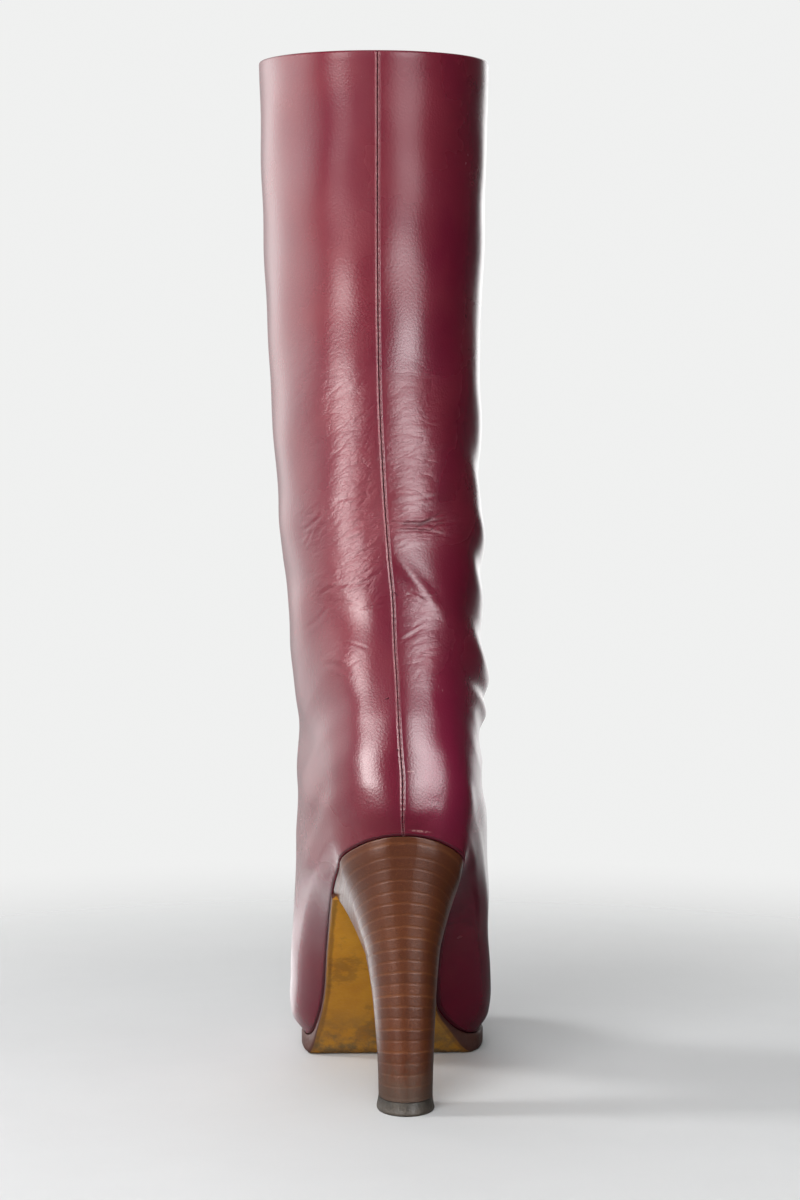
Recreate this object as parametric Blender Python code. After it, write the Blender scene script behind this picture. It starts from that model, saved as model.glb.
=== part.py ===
"""Tall heeled leather boot for the left foot.

One hollow upper stands on a leather outsole and a stacked heel with a top lift, and an insole lies inside.
Working axes: +Y to the toe, +X to the medial side, +Z up.
Zero is on the floor below the back of the heel seat.
All sizes are in millimetres until a mesh is made.
"""

import math
from collections import namedtuple

import bpy
import numpy as np

MM = 0.001
GAP = 0.3                   # left between pieces that meet

# Driving dimensions
HEEL_HEIGHT = 127.0         # floor to the back of the heel seat
BOOT_HEIGHT = 466.0         # floor to the collar
TOE_FRONT = 215.5           # feather edge at the toe, from the back of the heel seat
BREAST = 50.0               # front of the heel, where the outsole starts
FOREFOOT_SOLE = 8.5         # thickness of the outsole under the ball
WAIST_SOLE = 3.0            # thickness of the outsole under the arch
SOLE_LEDGE = 2.0            # outsole beyond the upper at the forefoot
TREAD_START = 146.0         # the sole line lies flat from here
TREAD_END = 180.0           # to here, and then springs up to the toe
TOE_SPRING = 7.0            # rise of the toe's feather edge over the tread
WALL = 2.0                  # leather and lining of the upper
INSOLE = 2.5                # thickness of the insole
LIFT = 6.0                  # thickness of the top lift
LIFT_FLARE = 0.8            # top lift's widest place beyond its top
SIDE_TURNS = (              # degrees along each side from heel to toe where facets meet
    *(11, 20, 29, 38, 47, 57, 66, 74, 82, 89),
    *(94, 98.5, 103, 107.5, 112, 117, 123),
    *(130, 137, 145, 153, 160, 166, 171, 175.5, 180),
)
BALL_TURNS = (89, 123)      # degrees between which the sole bends most
RING_STEPS = (2, 2, 2, 2, 3, 5, 5, 5, 4, 4, 3, 3)    # facets up the wall between the rings of the upper

# The line of the insole's underside along the foot
Profile = namedtuple("Profile", "y z")
SOLE_LINE = (
    Profile(0, HEEL_HEIGHT),
    Profile(22, 113.4),
    Profile(45, 97.0),
    Profile(72, 76.6),
    Profile(95, 55.2),
    Profile(111, 38.0),
    Profile(124, 24.0),
    Profile(135, 13.4),
    Profile(TREAD_START, FOREFOOT_SOLE),
    Profile(TREAD_END, FOREFOOT_SOLE),
    Profile(200, FOREFOOT_SOLE + 0.4 * TOE_SPRING),
    Profile(TOE_FRONT, FOREFOOT_SOLE + TOE_SPRING),
)

# Thickness of the outsole square to that line
Depth = namedtuple("Depth", "y deep")
SOLE_DEPTH = (
    Depth(BREAST, WAIST_SOLE),
    Depth(118, WAIST_SOLE),
    Depth(128, 1.2 * WAIST_SOLE),
    Depth(134, 0.6 * FOREFOOT_SOLE),
    Depth(140, 0.94 * FOREFOOT_SOLE),
    Depth(143, 1.03 * FOREFOOT_SOLE),
    Depth(TREAD_START, FOREFOOT_SOLE),
    Depth(TOE_FRONT, FOREFOOT_SOLE),
)

# Outlines seen from above: the middle and the half width at stations along the length
Station = namedtuple("Station", "y centre half")
FEATHER = (                 # edge of the upper where it meets the sole
    Station(0, 1.4, 0),
    Station(8, 1.4, 18.6),
    Station(25, 1.5, 28.2),
    Station(45, -0.9, 28.0),
    Station(75, -3.7, 26.7),
    Station(105, -5.5, 26.1),
    Station(120, -5.7, 27.4),
    Station(135, -2.4, 34.4),
    Station(150, 1.2, 41.4),
    Station(165, 2.0, 42.4),
    Station(185, 3.2, 38.6),
    Station(200, 4.4, 30.4),
    Station(210, 5.2, 18.6),
    Station(TOE_FRONT, 5.5, 0),
)
BODY = (                    # fullest part of the foot, about 25 mm above the sole
    Station(0, 0.8, 0),
    Station(8, 0.8, 19.5),
    Station(25, 0.6, 31.0),
    Station(45, 0.0, 36.8),
    Station(75, -0.8, 42.6),
    Station(105, -0.9, 45.8),
    Station(125, -0.3, 47.5),
    Station(150, 0.6, 48.7),
    Station(165, 1.6, 47.8),
    Station(185, 3.0, 42.2),
    Station(200, 4.2, 32.6),
    Station(210, 5.0, 20.0),
    Station(TOE_FRONT, 5.4, 0),
)

# Rings of the upper from the feather edge to the collar: where each crosses the back seam and the front ridge,
# the oval of the leg there, its shares of the feather outline, the body outline and the sole's curve,
# and how much blunter than an ellipse its back is
Ring = namedtuple("Ring", "back_y back_z front_y front_z half centre feather body sag blunt")
RINGS = (
    Ring(0.0, HEEL_HEIGHT, TOE_FRONT, FOREFOOT_SOLE + TOE_SPRING, 44.0, 0.5, 1.0, 0.0, 1.0, 0.0),
    Ring(-4.4, 138.0, 218.5, 25.5, 44.5, 0.4, 0.16, 0.84, 1.0, 0.0),
    Ring(-6.6, 151.0, 215.5, 35.5, 44.5, 0.0, 0.0, 1.0, 1.0, 0.1),
    Ring(-6.5, 163.0, 203.0, 44.0, 44.6, -0.6, 0.0, 0.45, 1.0, 0.30),
    Ring(-5.0, 178.0, 181.0, 52.0, 43.8, -1.0, 0.0, 0.10, 1.0, 0.39),
    Ring(-2.4, 193.0, 152.0, 67.5, 42.0, -1.4, 0.0, 0.0, 0.9, 0.47),
    Ring(-0.4, 210.0, 124.5, 97.0, 41.4, -2.4, 0.0, 0.0, 0.6, 0.50),
    Ring(0.4, 228.0, 107.5, 134.0, 42.4, -3.0, 0.0, 0.0, 0.3, 0.30),
    Ring(0.2, 250.0, 101.0, 190.0, 43.4, -5.0, 0.0, 0.0, 0.1, 0.13),
    Ring(-1.5, 284.0, 102.0, 252.0, 45.2, -7.4, 0.0, 0.0, 0.0, 0.03),
    Ring(-4.5, 332.0, 106.5, 320.0, 47.0, -9.4, 0.0, 0.0, 0.0, 0.0),
    Ring(-8.0, 397.0, 111.5, 394.0, 49.4, -10.0, 0.0, 0.0, 0.0, 0.0),
    Ring(-9.5, BOOT_HEIGHT, 114.5, BOOT_HEIGHT, 51.0, -10.0, 0.0, 0.0, 0.0, 0.0),
)

# Slack folds of the leg: angle from the back seam (medial is positive), height, how far the leather stands out
# or sinks in, the half height and half angle over which it fades, and its rise per degree
Fold = namedtuple("Fold", "angle height out half_height half_angle rise")
FOLDS = (
    Fold(112, 190, 3.0, 10, 38, 0.10),
    Fold(114, 175, 1.4, 6, 36, 0.10),
    Fold(110, 163, -2.2, 7, 36, 0.06),
    Fold(108, 141, -3.0, 8, 38, 0.0),
    Fold(-98, 147, 1.8, 12, 34, -0.12),
    Fold(-92, 170, -1.2, 10, 30, -0.10),
    Fold(70, 252, 1.0, 16, 28, -0.20),
    Fold(28, 262, -1.0, 10, 22, 0.25),
    Fold(-38, 226, -1.0, 10, 24, -0.30),
    Fold(180, 158, -1.6, 10, 40, 0.0),
    Fold(180, 200, -1.2, 12, 40, 0.0),
)

# Back seam: two sewn lips beside a groove, by angle from the back
Seam = namedtuple("Seam", "angle out")
BACK_SEAM = (
    Seam(0.0, -0.45),
    Seam(1.3, 0.50),
    Seam(3.1, 0.40),
    Seam(4.6, 0.0),
)

# Sections of the heel from the top lift up to the seat, each running from its back to its breast
Section = namedtuple("Section", "back_y back_z front_y front_z half centre seat")
HEEL = (
    Section(9.8, LIFT + GAP, 37.2, LIFT + GAP, 12.1, 3.4, 0.0),
    Section(9.6, 20.0, 37.2, 18.0, 12.4, 3.4, 0.0),
    Section(9.0, 39.0, 37.4, 33.0, 13.2, 3.2, 0.0),
    Section(8.0, 59.0, 38.2, 49.0, 14.4, 2.8, 0.0),
    Section(6.4, 79.0, 40.2, 64.0, 16.4, 2.2, 0.0),
    Section(4.6, 97.0, 42.6, 75.0, 19.0, 1.8, 0.10),
    Section(3.0, 111.0, 45.0, 83.0, 21.4, 1.6, 0.26),
    Section(1.9, 119.5, 46.9, 89.6, 24.2, 1.5, 0.52),
)
HEEL_ROUND = 0.62           # share of a heel section's length taken by its round back
HEEL_NARROWING = 0.05       # how much the flanks draw in towards the breast
HEEL_SIDE_STEPS = 10        # facets along each flank
HEEL_RIM = 0.4              # seat of the heel inside the feather edge

# Side of the top lift: share of its height, and share of the flare there
Flare = namedtuple("Flare", "height out")
LIFT_SIDE = (
    Flare(0.0, 0.4),
    Flare(0.12, 1.0),
    Flare(0.45, 0.55),
    Flare(1.0, 0.0),
)

# Sides of the sole layers: share of the thickness below the sole line, and how far the edge is drawn in
Edge = namedtuple("Edge", "share inset")
SOLE_EDGE = (
    Edge(0.0, 0.5),
    Edge(0.10, 0.0),
    Edge(0.82, 0.1),
    Edge(1.0, 1.2),
)
INSOLE_EDGE = (
    Edge(-1.0, 0.6),
    Edge(0.0, 0.0),
)

# How far the outsole stands out from the feather edge, along the foot
Ledge = namedtuple("Ledge", "y out")
LEDGE = (
    Ledge(BREAST, 0.0),
    Ledge(136, 0.0),
    Ledge(150, 0.7 * SOLE_LEDGE),
    Ledge(160, SOLE_LEDGE),
)


def smooth(table_x, table_y, x):
    """Monotone cubic through the table's points, which never overshoots them."""
    table_x = np.asarray(table_x, float)
    table_y = np.asarray(table_y, float)
    step = np.diff(table_x)
    rise = np.diff(table_y) / step
    slope = np.zeros(len(table_x))
    slope[0], slope[-1] = rise[0], rise[-1]
    for i in range(1, len(table_x) - 1):
        if rise[i - 1] * rise[i] > 0:
            before = 2 * step[i] + step[i - 1]
            after = step[i] + 2 * step[i - 1]
            slope[i] = (before + after) / (before / rise[i - 1] + after / rise[i])
    x = np.clip(x, table_x[0], table_x[-1])
    i = np.clip(np.searchsorted(table_x, x, side="right") - 1, 0, len(step) - 1)
    t = (x - table_x[i]) / step[i]
    return (
        table_y[i] * (1 + 2 * t) * (1 - t) ** 2
        + table_y[i + 1] * t * t * (3 - 2 * t)
        + step[i] * t * (1 - t) * (slope[i] * (1 - t) - slope[i + 1] * t)
    )


def column(table, name):
    return [getattr(row, name) for row in table]


def sole_height(y):
    """Height of the insole's underside at a place along the foot."""
    return smooth(column(SOLE_LINE, "y"), column(SOLE_LINE, "z"), y)


def sole_down(y):
    """Direction square to the sole line, pointing down and back, as Y and Z."""
    reach = 0.5
    slope = (sole_height(y + reach) - sole_height(y - reach)) / (2 * reach)
    length = np.sqrt(1 + slope * slope)
    return slope / length, -1 / length


def sole_thickness(y):
    return smooth(column(SOLE_DEPTH, "y"), column(SOLE_DEPTH, "deep"), y)


def turn_of(y, front):
    """Angle along a side, 0 at the back and pi at the front, of a place along the length."""
    return np.arccos(np.clip(1 - 2 * np.asarray(y, float) / front, -1, 1))


def outline(table, turn):
    """Middle and half width of an outline at angles along its side."""
    front = table[-1].y
    turns = turn_of(column(table, "y"), front)
    return smooth(turns, column(table, "centre"), turn), smooth(turns, column(table, "half"), turn)


def along(back, front, turn):
    return back + (front - back) * (1 - np.cos(turn)) / 2


def ring_along(row, turn):
    """Places along a ring, drawn back on its back half by the ring's bluntness times the square of the cosine."""
    behind = np.clip(np.cos(turn), 0, 1) ** 2
    return row.back_y + (row.front_y - row.back_y) * (1 - np.cos(turn)) / 2 * (1 - row.blunt * behind)


def upper_turns():
    """Angles round the upper, from the back seam by the lateral side to the toe, and back."""
    seam = np.radians(column(BACK_SEAM, "angle"))
    side = np.concatenate([seam, np.radians(SIDE_TURNS)])
    turn = np.concatenate([side, side[-2:0:-1]])
    sign = np.concatenate([-np.ones(len(side)), np.ones(len(side) - 2)])
    return turn, sign


def ring_levels():
    """Places of the facets up the wall, counted in rings."""
    levels = [i + np.arange(n) / n for i, n in enumerate(RING_STEPS)]
    return np.concatenate([*levels, [len(RING_STEPS)]])


def upper_surface(level, turn, sign):
    """Outer face of the upper as an array of points, a row for each level and a column for each angle."""
    index = np.arange(len(RINGS))
    row = Ring(*[smooth(index, column(RINGS, name), level)[:, None] for name in Ring._fields])
    feather_centre, feather_half = outline(FEATHER, turn)
    body_centre, body_half = outline(BODY, turn)
    oval = 1 - row.feather - row.body
    centre = row.feather * feather_centre + row.body * body_centre + oval * row.centre
    half = row.feather * feather_half + row.body * body_half + oval * row.half * np.sin(turn)
    y = ring_along(row, turn)
    share = (1 - np.cos(turn)) / 2
    flat = row.back_z + (row.front_z - row.back_z) * share
    lift_back = row.back_z - sole_height(row.back_y)
    lift_front = row.front_z - sole_height(row.front_y)
    curved = sole_height(y) + lift_back + (lift_front - lift_back) * share
    z = row.sag * curved + (1 - row.sag) * flat
    return np.stack([centre + sign * half, y, z], axis=-1)


def grid_normals(points):
    """Outward directions of a grid of points that closes round its columns."""
    around = np.roll(points, -1, axis=1) - np.roll(points, 1, axis=1)
    up = np.gradient(points, axis=0)
    normal = np.cross(up, around)
    return normal / np.linalg.norm(normal, axis=-1, keepdims=True)


def fold_height(points, turn, sign):
    """How far the slack folds move each point of the leg outwards."""
    angle = np.degrees(turn) * sign
    out = np.zeros(points.shape[:2])
    for fold in FOLDS:
        aside = (angle - fold.angle + 180) % 360 - 180
        above = points[..., 2] - fold.height - fold.rise * aside
        out += fold.out * np.exp(-((above / fold.half_height) ** 2) - (aside / fold.half_angle) ** 2)
    return out


def seam_height(turn):
    """How far the sewn lips of the back seam stand out."""
    angles = np.radians(column(BACK_SEAM, "angle"))
    return np.interp(turn, angles, column(BACK_SEAM, "out"))


def upper_faces():
    """Outer and inner faces of the upper. The wall's foot stands just clear of the sole."""
    turn, sign = upper_turns()
    plain = upper_surface(ring_levels(), turn, sign)
    normal = grid_normals(plain)
    folded = plain + normal * fold_height(plain, turn, sign)[..., None]
    outer = folded + normal * seam_height(turn)[:, None]
    inner = folded - normal * WALL
    for face in (outer, inner):
        face[-1, :, 2] = BOOT_HEIGHT
        face[0, :, 2] = sole_height(face[0, :, 1]) + GAP
    return outer, inner


def new_object(name, points, faces, material, sharp_degrees=35):
    """Mesh object from points in millimetres. Points that coincide are joined."""
    mesh = bpy.data.meshes.new(name)
    mesh.from_pydata((np.asarray(points) * MM).tolist(), [], faces)
    made = bpy.data.objects.new(name, mesh)
    bpy.context.scene.collection.objects.link(made)
    weld = made.modifiers.new("weld", "WELD")
    weld.merge_threshold = 0.00001
    mesh.materials.append(material)
    mesh.shade_smooth()
    mesh.set_sharp_from_angle(angle=math.radians(sharp_degrees))
    return made


def finish(name, colour, roughness):
    material = bpy.data.materials.new(name)
    material.use_nodes = True
    shader = material.node_tree.nodes["Principled BSDF"]
    shader.inputs["Base Color"].default_value = (*colour, 1)
    shader.inputs["Roughness"].default_value = roughness
    shader.inputs["Metallic"].default_value = 0
    return material


def band(rows, columns, start, closed, turned=False):
    """Quads of a grid of points numbered row by row from start."""
    faces = []
    for i in range(rows - 1):
        for j in range(columns if closed else columns - 1):
            k = (j + 1) % columns
            near = start + i * columns
            quad = (near + j, near + k, near + columns + k, near + columns + j)
            faces.append(quad[::-1] if turned else quad)
    return faces


def make_upper(material):
    outer, inner = upper_faces()
    rows, columns = outer.shape[:2]
    inside = rows * columns
    faces = band(rows, columns, 0, True, turned=True) + band(rows, columns, inside, True)
    last = (rows - 1) * columns
    for j in range(columns):
        k = (j + 1) % columns
        faces.append((j, k, inside + k, inside + j))
        faces.append((last + k, last + j, inside + last + j, inside + last + k))
    points = np.concatenate([outer.reshape(-1, 3), inner.reshape(-1, 3)])
    return new_object("upper", points, faces, material)


def loft_sections(name, sections, material, close_first=False):
    """Solid through closed sections of equally many points. An end that narrows to a line needs no cap."""
    sections = np.asarray(sections)
    count, around = sections.shape[:2]
    faces = band(count, around, 0, True, turned=True)
    if close_first:
        faces.append(tuple(range(around)))
    return new_object(name, sections.reshape(-1, 3), faces, material)


def feather_edge(turn, side, reach):
    """Place on the feather outline, moved square to it by reach: outwards when positive."""
    small = 0.001
    turns = np.array([turn - small, turn, turn + small])
    centre, half = outline(FEATHER, np.clip(turns, 0, math.pi))
    x = centre + side * half * np.where((turns < 0) | (turns > math.pi), -1, 1)
    y = along(0, TOE_FRONT, turns)
    aside = -side * (y[2] - y[0])
    ahead = side * (x[2] - x[0])
    length = math.hypot(aside, ahead)
    return x[1] - aside / length * reach, y[1] - ahead / length * reach


def slab_section(turn, edges, thickness, grow, top_gap):
    """Section across a sole layer at one angle: down its lateral edge and up its medial edge."""
    sides = []
    for side in (-1, 1):
        chain = []
        for edge in edges:
            x, y = feather_edge(turn, side, grow - edge.inset)
            aside, down = sole_down(y)
            depth = top_gap + edge.share * thickness
            chain.append((x, y + aside * depth, sole_height(y) + down * depth))
        sides.append(chain)
    return sides[0] + sides[1][::-1]


def ledge(y):
    """How far the outsole stands out from the feather edge."""
    return float(smooth(column(LEDGE, "y"), column(LEDGE, "out"), y))


def sole_turns():
    """Angles of the sole layers' sections: the upper's, and one more between each pair at the ball."""
    ball = [(a + b) / 2 for a, b in zip(SIDE_TURNS, SIDE_TURNS[1:]) if BALL_TURNS[0] <= a < BALL_TURNS[1]]
    return np.radians(sorted([*SIDE_TURNS, *ball]))


def make_outsole(material):
    breast = float(turn_of(BREAST, TOE_FRONT))
    turns = sole_turns()
    sections = []
    for turn in [breast, *turns[turns > breast + 0.02]]:
        y = float(along(0, TOE_FRONT, turn))
        sections.append(
            slab_section(turn, SOLE_EDGE, float(sole_thickness(y)), ledge(y), 0.0)
        )
    return loft_sections("outsole", sections, material, close_first=True)


def make_insole(material):
    """The insole lies inside the foot of the wall, on the outsole and the heel seat."""
    turns = sole_turns()
    sections = [
        slab_section(turn, INSOLE_EDGE, INSOLE, -(WALL + GAP), -GAP)
        for turn in (0, 0.5 * turns[0], *turns)
    ]
    return loft_sections("insole", sections, material)


def heel_flank(share):
    """Half width of a heel section against its largest, from its back at 0 to its breast at 1."""
    back = np.clip(share / HEEL_ROUND, 0, 1)
    front = np.clip((share - HEEL_ROUND) / (1 - HEEL_ROUND), 0, 1)
    return np.sqrt(1 - (1 - back) ** 2) * (1 - HEEL_NARROWING * front * front)


def heel_shares():
    """Places along a flank, closer together on the round back."""
    return 1 - np.cos(np.linspace(0, math.pi / 2, HEEL_SIDE_STEPS + 1))


def heel_ring(section, share):
    """Closed ring of points of one heel section: lateral flank forwards, medial flank back."""
    y = section.back_y + (section.front_y - section.back_y) * share
    z = section.back_z + (section.front_z - section.back_z) * share
    seat_centre, seat_half = outline(FEATHER, turn_of(np.maximum(y, 0), TOE_FRONT))
    seat_half = np.where(share > 0, np.maximum(seat_half - HEEL_RIM, 0), 0)
    centre = (1 - section.seat) * section.centre + section.seat * seat_centre
    half = (1 - section.seat) * section.half * heel_flank(share) + section.seat * seat_half
    lateral = np.stack([centre - half, y, z], axis=-1)
    medial = np.stack([centre + half, y, z], axis=-1)
    return np.concatenate([lateral, medial[:0:-1]])


def ladder(start, count, around, turned):
    """Cap of a heel ring: strips between the points of the two flanks that face each other."""
    faces = [(start, start + 1, start + around - 1)]
    for i in range(1, count - 1):
        faces.append((start + i, start + i + 1, start + around - i - 1, start + around - i))
    return [face[::-1] if turned else face for face in faces]


def make_flanked(name, rings, material):
    """Solid through rings of two flanks each, closed by a ladder of strips at both ends."""
    rings = np.asarray(rings)
    count, around = rings.shape[:2]
    steps = HEEL_SIDE_STEPS + 1
    faces = band(count, around, 0, True, turned=True)
    faces += ladder(0, steps, around, turned=False)
    faces += ladder((count - 1) * around, steps, around, turned=True)
    return new_object(name, rings.reshape(-1, 3), faces, material)


def make_heel(material):
    share = heel_shares()
    rings = [heel_ring(section, share) for section in HEEL]
    seat = heel_ring(Section(HEEL_RIM, 0, BREAST - GAP, 0, 0, 0, 1.0), share)
    seat[:, 2] = sole_height(seat[:, 1]) - GAP
    return make_flanked("heel", [*rings, seat], material)


def make_top_lift(material):
    share = heel_shares()
    foot = HEEL[0]
    rings = []
    for side in LIFT_SIDE:
        grow = side.out * LIFT_FLARE
        height = side.height * LIFT
        section = foot._replace(
            back_y=foot.back_y - grow,
            front_y=foot.front_y + grow,
            back_z=height,
            front_z=height,
            half=foot.half + grow,
        )
        rings.append(heel_ring(section, share))
    return make_flanked("top_lift", rings, material)


def stand_on_origin(pieces):
    """Hangs every piece on one empty that puts the middle of the boot's footprint at the origin."""
    corners = np.array([vertex.co for piece in pieces for vertex in piece.data.vertices])
    middle = (corners.min(axis=0) + corners.max(axis=0)) / 2
    carrier = bpy.data.objects.new("boot", None)
    carrier.location = (-middle[0], -middle[1], 0)
    bpy.context.scene.collection.objects.link(carrier)
    for piece in pieces:
        piece.parent = carrier


def main():
    for old in list(bpy.data.objects):
        bpy.data.objects.remove(old)
    burgundy = finish("burgundy_calf", (0.17, 0.018, 0.035), 0.28)
    stacked = finish("stacked_leather", (0.11, 0.035, 0.014), 0.32)
    tan = finish("tan_sole_leather", (0.36, 0.18, 0.05), 0.45)
    rubber = finish("dark_rubber", (0.035, 0.03, 0.025), 0.6)
    lining = finish("insole_leather", (0.42, 0.30, 0.18), 0.6)
    stand_on_origin(
        [
            make_upper(burgundy),
            make_insole(lining),
            make_outsole(tan),
            make_heel(stacked),
            make_top_lift(rubber),
        ]
    )


main()
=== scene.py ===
import math

import bmesh
import bpy
import numpy as np
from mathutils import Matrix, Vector


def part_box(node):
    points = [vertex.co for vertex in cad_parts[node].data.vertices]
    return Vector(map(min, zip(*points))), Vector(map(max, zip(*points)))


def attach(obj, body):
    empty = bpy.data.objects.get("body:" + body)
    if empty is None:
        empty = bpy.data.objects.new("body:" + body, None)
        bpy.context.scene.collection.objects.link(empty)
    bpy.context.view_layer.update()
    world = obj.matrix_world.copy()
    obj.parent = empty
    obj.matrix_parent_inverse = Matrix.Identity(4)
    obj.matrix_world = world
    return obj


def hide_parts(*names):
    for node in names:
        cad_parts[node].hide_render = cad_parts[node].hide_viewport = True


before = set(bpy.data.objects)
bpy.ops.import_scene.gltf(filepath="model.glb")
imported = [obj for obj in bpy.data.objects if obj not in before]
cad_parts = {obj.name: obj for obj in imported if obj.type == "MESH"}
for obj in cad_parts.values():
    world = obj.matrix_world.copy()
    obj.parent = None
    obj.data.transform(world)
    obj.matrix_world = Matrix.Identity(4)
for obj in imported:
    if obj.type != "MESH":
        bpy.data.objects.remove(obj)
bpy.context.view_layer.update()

# Tall burgundy boot for the left foot, dressed over its solids.
# Shapes are worked out in millimetres from the floor below the back of the heel seat:
# +Y to the toe, +X to the medial side, +Z up. place() carries them into the frame in metres.
mm = 0.001
weld = 0.000001                      # metres within which points of a piece are one
liftLow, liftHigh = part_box("top_lift")
liftMiddle, liftBack = 3.4, 9.0      # where the top lift stands in those millimetres
bootPlace = np.array([(liftLow.x + liftHigh.x) / 2 / mm - liftMiddle, liftLow.y / mm - liftBack, 0])
print("frame loaded, boot placed at", np.round(bootPlace, 2), "mm")


def place(points):
    return (np.asarray(points) + bootPlace) * mm


# Monotone cubic through a table: Hermite pieces whose slopes are weighted harmonic means of the chords
# on both sides, and nought where the table turns, so it never overshoots
def smoothCurve(tableX, tableY, x):
    tableX, tableY = np.asarray(tableX, float), np.asarray(tableY, float)
    step = np.diff(tableX)
    rise = np.diff(tableY) / step
    near, far = rise[:-1], rise[1:]
    steady = near * far > 0
    nearWeight, farWeight = 2 * step[1:] + step[:-1], step[1:] + 2 * step[:-1]
    mean = nearWeight / np.where(steady, near, 1) + farWeight / np.where(steady, far, 1)
    slope = np.concatenate([rise[:1], np.where(steady, (nearWeight + farWeight) / mean, 0), rise[-1:]])
    x = np.clip(x, tableX[0], tableX[-1])
    i = np.clip(np.searchsorted(tableX, x, side="right") - 1, 0, len(step) - 1)
    t = (x - tableX[i]) / step[i]
    return (tableY[i] * (1 + 2 * t) * (1 - t) ** 2 + tableY[i + 1] * t * t * (3 - 2 * t)
            + step[i] * t * (1 - t) * (slope[i] * (1 - t) - slope[i + 1] * t))


def tableCurve(table, column, x):
    return smoothCurve([row[0] for row in table], [row[column] for row in table], x)


# 0 before low, 1 after high, and 3t^2 - 2t^3 between
def ease(low, high, x):
    t = np.clip((x - low) / (high - low), 0, 1)
    return t * t * (3 - 2 * t)


# Values from stop to stop, each stretch cut into its own number of equal steps
def spread(stops, steps):
    runs = [np.linspace(a, b, n, endpoint=False) for a, b, n in zip(stops, stops[1:], steps)]
    return np.concatenate([*runs, stops[-1:]])


# The last that the boot is made on
last = {
    "toeFront": 215.5,
    # place along the foot, height of the insole's underside
    "soleLine": [(0, 127), (22, 113.4), (45, 97), (72, 76.6), (95, 55.2), (111, 38), (124, 24),
                 (135, 13.4), (146, 8.5), (180, 8.5), (200, 11.3), (215.5, 15.5)],
    # place along the foot, middle and half width of the edge where the upper meets the sole
    "feather": [(0, 1.4, 0), (8, 1.4, 18.6), (25, 1.5, 28.2), (45, -0.9, 28), (75, -3.7, 26.7),
                (105, -5.5, 26.1), (120, -5.7, 27.4), (135, -2.4, 34.4), (150, 1.2, 41.4), (165, 2, 42.4),
                (185, 3.2, 38.6), (200, 4.4, 30.4), (210, 5.2, 18.6), (215.5, 5.5, 0)],
    # the same for the fullest part of the foot
    "body": [(0, 0.8, 0), (8, 0.8, 19.5), (25, 0.6, 31), (45, 0, 36.8), (75, -0.8, 42.6),
             (105, -0.9, 45.8), (125, -0.3, 47.5), (150, 0.6, 48.7), (165, 1.6, 47.8), (185, 3, 42.2),
             (200, 4.2, 32.6), (210, 5, 20), (215.5, 5.4, 0)],
}


def soleHeight(y):
    return tableCurve(last["soleLine"], 1, y)


# Unit direction square to the sole line, down and back, as its Y and Z parts
def soleDown(y):
    reach = 0.5
    slope = (soleHeight(y + reach) - soleHeight(y - reach)) / (2 * reach)
    length = np.sqrt(1 + slope * slope)
    return slope / length, -1 / length


# A turn runs along one side of an outline: 0 at the back, pi at the front, y going as its cosine
def turnOf(y, front):
    return np.arccos(np.clip(1 - 2 * np.asarray(y, float) / front, -1, 1))


def along(back, front, turn):
    return back + (front - back) * (1 - np.cos(turn)) / 2


def outline(table, turn):
    turns = turnOf([row[0] for row in table], table[-1][0])
    middle = smoothCurve(turns, [row[1] for row in table], turn)
    return middle, smoothCurve(turns, [row[2] for row in table], turn)


# A point of the feather edge moved square to it by reach, outwards when positive
def featherEdge(turn, side, reach):
    small = 0.001
    turns = np.asarray(turn)[..., None] + np.array([-small, 0, small])
    beyond = (turns < 0) | (turns > math.pi)
    middle, half = outline(last["feather"], np.clip(turns, 0, math.pi))
    x = middle + side * half * np.where(beyond, -1, 1)
    y = along(0, last["toeFront"], turns)
    aside = -side * (y[..., 2] - y[..., 0])
    ahead = side * (x[..., 2] - x[..., 0])
    length = np.hypot(aside, ahead)
    return x[..., 1] - aside / length * reach, y[..., 1] - ahead / length * reach


# Quads of a grid numbered row by row, its last column joined to the first; looped joins the last row too
def gridFaces(rows, columns, start=0, turned=False, looped=False):
    i, j = np.meshgrid(np.arange(rows if looped else rows - 1), np.arange(columns), indexing="ij")
    near, far = start + i * columns, start + (i + 1) % rows * columns
    k = (j + 1) % columns
    quads = np.stack([near + j, near + k, far + k, far + j], axis=-1).reshape(-1, 4)
    return (quads[:, ::-1] if turned else quads).tolist()


# Strips across a ring that runs forwards on one flank and back on the other
def ladderFaces(start, steps, columns, turned=False):
    i = np.arange(1, steps)
    quads = np.stack([start + i, start + i + 1, start + columns - i - 1, start + columns - i], axis=-1)
    faces = [[start, start + 1, start + columns - 1], *quads.tolist()]
    return [face[::-1] for face in faces] if turned else faces


def addObject(name, data):
    made = bpy.data.objects.new(name, data)
    bpy.context.scene.collection.objects.link(made)
    return made


# Mesh object at the origin: points in millimetres, listed or as a grid, faces, named values for each point
def makePiece(name, points, faces, material, values=None, sharp=None):
    mesh = bpy.data.meshes.new(name)
    mesh.from_pydata(place(np.reshape(points, (-1, 3))).tolist(), [], faces)
    for key, numbers in (values or {}).items():
        attribute = mesh.attributes.new(key, "FLOAT", "POINT")
        attribute.data.foreach_set("value", np.asarray(numbers, np.float32).ravel())
    work = bmesh.new()
    work.from_mesh(mesh)
    bmesh.ops.remove_doubles(work, verts=work.verts, dist=weld)
    work.to_mesh(mesh)
    work.free()
    mesh.shade_smooth()
    if sharp:
        mesh.set_sharp_from_angle(angle=math.radians(sharp))
    mesh.materials.append(material)
    piece = addObject(name, mesh)
    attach(piece, "root")
    triangles = sum(len(face.vertices) - 2 for face in mesh.polygons)
    print(name, len(mesh.vertices), "points,", triangles, "triangles")
    return piece


def unit(vectors):
    return vectors / np.linalg.norm(vectors, axis=-1, keepdims=True)


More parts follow.
